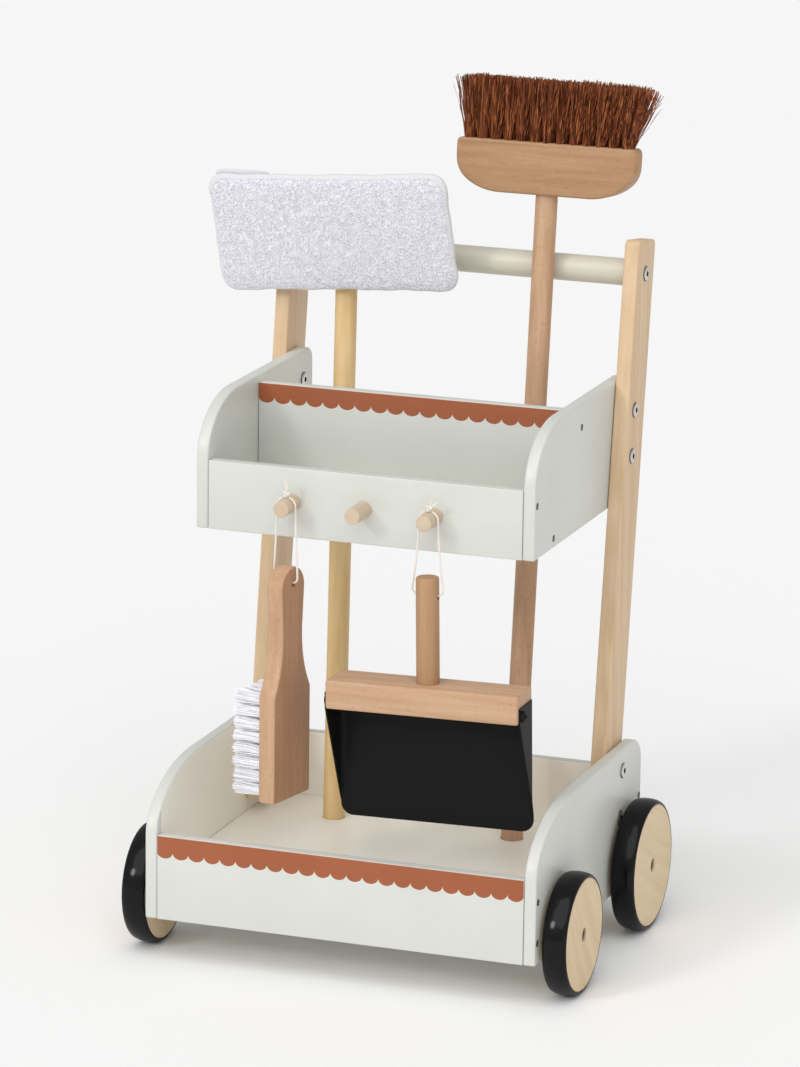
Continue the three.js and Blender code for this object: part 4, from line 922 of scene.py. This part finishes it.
def sheetMesh():
    # one sheet bent forward at both sides, its walls narrowing towards the lip
    half = pan["width"] / 2 + 0.3 + sheet["gauge"] / 2
    rear = pan["depth"] / 2 + 0.3 + sheet["gauge"] / 2
    front, lip = sheet["earSet"] - pan["depth"] / 2, blockFoot - sheet["drape"]
    wallFoot = lip + sheet["wallFoot"]
    levels = [blockFoot + sheet["ear"], blockFoot + 6, blockFoot]
    levels += [blockFoot + (wallFoot - blockFoot) * i / 14 for i in range(1, 15)]
    levels += [lip + sheet["lipRound"] * (1 - math.sin(math.pi / 2 * i / 8)) for i in range(9)]
    quarter = [math.pi / 2 * i / 8 for i in range(9)]
    bm = bmesh.new()
    rows = []
    for z in levels:
        share = min(1.0, max(0.0, (blockFoot - z) / (blockFoot - wallFoot)))
        edge = front + (rear - front) * share
        bend = min(sheet["bend"], rear - edge)
        drop = max(0.0, lip + sheet["lipRound"] - z)
        inset = math.sqrt(max(0.0, sheet["lipRound"] ** 2 - drop ** 2))
        reach = half - sheet["lipRound"] + inset if drop else half
        wall = [(reach, edge + (rear - bend - edge) * i / 5) for i in range(5)]
        corner = [(reach - bend + bend * math.cos(a), rear - bend + bend * math.sin(a)) for a in quarter]
        flat = [((reach - bend) * (1 - i / 6), rear) for i in range(1, 7)]
        side = wall + corner + flat
        row = [(-x, y) for x, y in side] + list(reversed(side))[1:]
        rows.append([bm.verts.new((x, y, z)) for x, y in row])
    stitch(bm, rows, closed=False)
    bmesh.ops.remove_doubles(bm, verts=bm.verts, dist=0.001)
    bmesh.ops.dissolve_degenerate(bm, dist=0.0005, edges=bm.edges)
    return fromBmesh("sheet", bm)


thin = show("sheetBlank", sheetMesh())
wall = thin.modifiers.new("gauge", "SOLIDIFY")
wall.thickness, wall.offset = sheet["gauge"], 0.0
mesh = evaluated(thin)
bpy.data.objects.remove(thin)
put("panSheet", mesh, blackSheet, panPlace, "dustpan", "black_sheet", "pan_sheet")
# a low head on the left and a domed one on the right
panHead = partial(socketHead, finish=blackSheet, radius=4.5, socket=1.9)
panHeads = {"left": panHead("panScrewLow", thick=1.0, crown=0.6, depth=0.6),
            "right": panHead("panScrewDome", thick=3.2, crown=1.4, depth=1.6)}
turned = panPlace.to_3x3()
screwY, screwZ = pan["screwSet"] - pan["depth"] / 2, blockFoot + pan["screwRise"]
for side, sign in sideSigns:
    spot = panPlace @ Vector((sign * (pan["width"] / 2 + pan["screwOut"]), screwY, screwZ))
    setHeads("panScrew" + side.title(), panHeads[side], blackSheet, [(spot, turned @ Vector((sign, 0, 0)))],
             "dustpan", "black_sheet", f"pan_screw_{side}")
print("dustpan made")

# hanging loops, as offsets from the peg's axis

overPeg = [(-2.63, 0, 7.24), (-4.95, 0, 5.9), (-6.67, 0, 3.85), (-7.56, 0, 1.45), (-7.75, 0, -1.5)]
loops = {"radius": 0.9, "y": 34, "sides": 12, "twist": {"lobes": 3, "depth": 0.16, "turns": 0.9},
         "knot": {"gap": 0.5, "rise": 2.8, "size": 0.74, "deep": 1.3, "steps": 60, "tail": 0.9},
         "brush": {"x": -59.5, "body": "hand_brush", "tails": ((-1.8, 0.5, 10.5), (0.4, -0.8, 12.0)),
                   "left": [*overPeg, (-8.1, 0.3, -11), (-8.8, 0.8, -24), (-9.6, 1.4, -38), (-10.4, 2, -50),
                            (-10.75, 2.3, -56.8), (-10.45, 2.2, -58.4), (-9.55, 2.05, -59.8),
                            (-8.2, 1.75, -60.7), (-6.65, 1.4, -61), (-3, 0.65, -61)], "foot": (0, 0, -61)},
         "pan": {"x": 59.5, "body": "dustpan", "tails": ((2.6, -1.0, 7.5), (7.0, 0.5, 4.8)),
                 "left": [*overPeg, (-8.3, 0, -12), (-9.2, 0, -24), (-10.3, 0, -35), (-11.6, 0, -45),
                          (-12.9, 0, -55.3), (-12.58, 0, -56.91), (-11.67, 0, -58.27), (-10.31, 0, -59.18),
                          (-8.7, 0, -59.5), (-4, 0, -59.5)], "foot": (0, 0, -59.5)}}


def sweep(name, path, radius, sides=10, closedLoop=False, twist=None):
    # tube along a path, with parallel frames and an optional twisted lay
    count = len(path)
    tangents = []
    for i in range(count):
        a = path[(i - 1) % count] if closedLoop or i else path[0]
        b = path[(i + 1) % count] if closedLoop or i + 1 < count else path[-1]
        tangents.append((b - a).normalized())
    side = tangents[0].orthogonal().normalized()
    bm = bmesh.new()
    rows, travelled = [], 0.0
    for i, (point, tangent) in enumerate(zip(path, tangents)):
        if i:
            side = (tangents[i - 1].rotation_difference(tangent) @ side).normalized()
            travelled += (point - path[i - 1]).length
        other = tangent.cross(side)
        row = []
        for k in range(sides):
            a, r = 2 * math.pi * k / sides, radius
            if twist:
                wave = math.cos(twist["lobes"] * (a + travelled * twist["turns"]))
                r = radius * (1 - twist["depth"] * (0.5 - 0.5 * wave))
            row.append(bm.verts.new(point + side * r * math.cos(a) + other * r * math.sin(a)))
        rows.append(row)
    stitch(bm, rows + rows[:1] if closedLoop else rows)
    if not closedLoop:
        bm.faces.new(list(reversed(rows[0])))
        bm.faces.new(rows[-1])
    return fromBmesh(name, bm)


def smoothPath(points, steps=8):
    spots = [Vector(p) for p in points]
    ends = [spots[0] * 2 - spots[1], *spots, spots[-1] * 2 - spots[-2]]
    path = []
    for a, b, c, d in zip(ends, ends[1:], ends[2:], ends[3:]):
        t1 = (b - a).length ** 0.5
        t2 = t1 + (c - b).length ** 0.5
        t3 = t2 + (d - c).length ** 0.5
        for i in range(steps):
            t = t1 + (t2 - t1) * i / steps
            a1 = a * ((t1 - t) / t1) + b * (t / t1)
            a2 = b * ((t2 - t) / (t2 - t1)) + c * ((t - t1) / (t2 - t1))
            a3 = c * ((t3 - t) / (t3 - t2)) + d * ((t - t2) / (t3 - t2))
            b1 = a1 * ((t2 - t) / t2) + a2 * (t / t2)
            b2 = a2 * ((t3 - t) / (t3 - t1)) + a3 * ((t - t1) / (t3 - t1))
            path.append(b1 * ((t2 - t) / (t2 - t1)) + b2 * ((t - t1) / (t2 - t1)))
    return path + [spots[-1]]


tieLook, twist = loops["knot"], loops["twist"]
for name in ("brush", "pan"):
    loop = loops[name]
    right = [(-x, -y, z) for x, y, z in reversed(loop["left"])]
    place = move(loop["x"], loops["y"], pegs["z"])
    path = smoothPath([*loop["left"], loop["foot"], *right])
    mesh = sweep("cord", path, loops["radius"], loops["sides"], twist=twist)
    made = put(name + "Cord", mesh, cottonCream, place, loop["body"], "cotton_cord", f"{name}_cord", smooth=80)
    # an overhand knot on top of the peg, with its two short ends
    knotAt = Vector((0, 0, pegs["radius"] + tieLook["gap"] + tieLook["rise"]))
    size, tie = tieLook["size"], []
    for i in range(tieLook["steps"]):
        t = 2 * math.pi * i / tieLook["steps"]
        tie.append(knotAt + Vector(((math.sin(t) + 2 * math.sin(2 * t)) * size,
                                    -math.sin(3 * t) * size * tieLook["deep"],
                                    (math.cos(t) - 2 * math.cos(2 * t)) * size)))
    bm = bmesh.new()
    bm.from_mesh(sweep("tie", tie, loops["radius"], closedLoop=True))
    for tail in loop["tails"]:
        tip = knotAt + Vector(tail)
        curve = smoothPath([knotAt, knotAt * 0.55 + tip * 0.45 + Vector((0.8, 0, 0.6)), tip])
        bm.from_mesh(sweep("tail", curve, loops["radius"] * tieLook["tail"], twist=twist))
    mesh = bpy.data.meshes.new("knot")
    bm.to_mesh(mesh)
    bm.free()
    knot = put(name + "Knot", mesh, cottonCream, place, loop["body"], "cotton_cord", f"{name}_knot", smooth=80)

for helper in (boltHead, screwHead, hubHead, *panHeads.values()):
    bpy.data.objects.remove(helper)

# floor, light and camera

stage = {"floor": (0.97, 0.97, 0.97), "shade": 0.99, "cloud": 0.6, "roughness": 0.9,
         "size": 30.0, "world": 0.52}
s = stage["size"]
floorMesh = bpy.data.meshes.new("floor")
floorMesh.from_pydata([(-s, -s, 0), (s, -s, 0), (s, s, 0), (-s, s, 0)], [], [(0, 1, 2, 3)])
floorFinish, tree, shader, coords = newFinish("floorPale", {"Roughness": stage["roughness"]})
cloud = noiseAt(tree, coords, even, stage["cloud"], 2.0)
tones = twoTone(tree, cloud, tuple(c * stage["shade"] for c in stage["floor"]), stage["floor"])
tree.links.new(tones, shader.inputs["Base Color"])
floorMesh.materials.append(floorFinish)
show("floor", floorMesh)

world = bpy.data.worlds.new("studio")
bpy.context.scene.world = world
world.use_nodes = True
background = world.node_tree.nodes["Background"].inputs
background["Color"].default_value = (1.0, 1.0, 1.0, 1.0)
background["Strength"].default_value = stage["world"]

lamps = {"key": {"from": (-0.40, -0.79, 0.46), "strength": 0.60, "spread": 12},
         "fill": {"from": (0.80, -0.45, 0.40), "strength": 0.22, "spread": 60},
         "top": {"from": (0.05, -0.58, 0.81), "strength": 1.30, "spread": 60}}
for name, look in lamps.items():
    data = bpy.data.lights.new(name + "Lamp", "SUN")
    data.energy, data.angle = look["strength"], math.radians(look["spread"])
    lamp = show(name + "Lamp", data)
    lamp.rotation_euler = Vector(look["from"]).to_track_quat("Z", "Y").to_euler()

view = {"at": (1476.066, -3955.236, 1441.175), "azimuth": 19.85, "elevation": 14.23, "roll": 0.744,
        "focal": 5600.07, "imageWidth": 800, "sensor": 36.0, "far": 100.0}
az, el, roll = (math.radians(view[k]) for k in ("azimuth", "elevation", "roll"))
forward = Vector((-math.sin(az) * math.cos(el), math.cos(az) * math.cos(el), -math.sin(el)))
across = Vector((math.cos(az), math.sin(az), 0))
upward = across.cross(forward)
cameraX = across * math.cos(roll) + upward * math.sin(roll)
cameraY = upward * math.cos(roll) - across * math.sin(roll)
cameraData = bpy.data.cameras.new("camera")
cameraData.sensor_fit = "HORIZONTAL"
cameraData.sensor_width = view["sensor"]
cameraData.lens = view["focal"] * view["sensor"] / view["imageWidth"]
cameraData.clip_end = view["far"]
camera = show("camera", cameraData)
axes = (cameraX, cameraY, -forward)
spot = toRow @ Vector(view["at"])
camera.matrix_world = Matrix([(*(axis[i] for axis in axes), spot[i]) for i in range(3)] + [(0, 0, 0, 1)])
bpy.context.scene.camera = camera
bpy.context.scene.view_settings.view_transform = "Standard"
print("stage set")

bpy.context.view_layer.update()
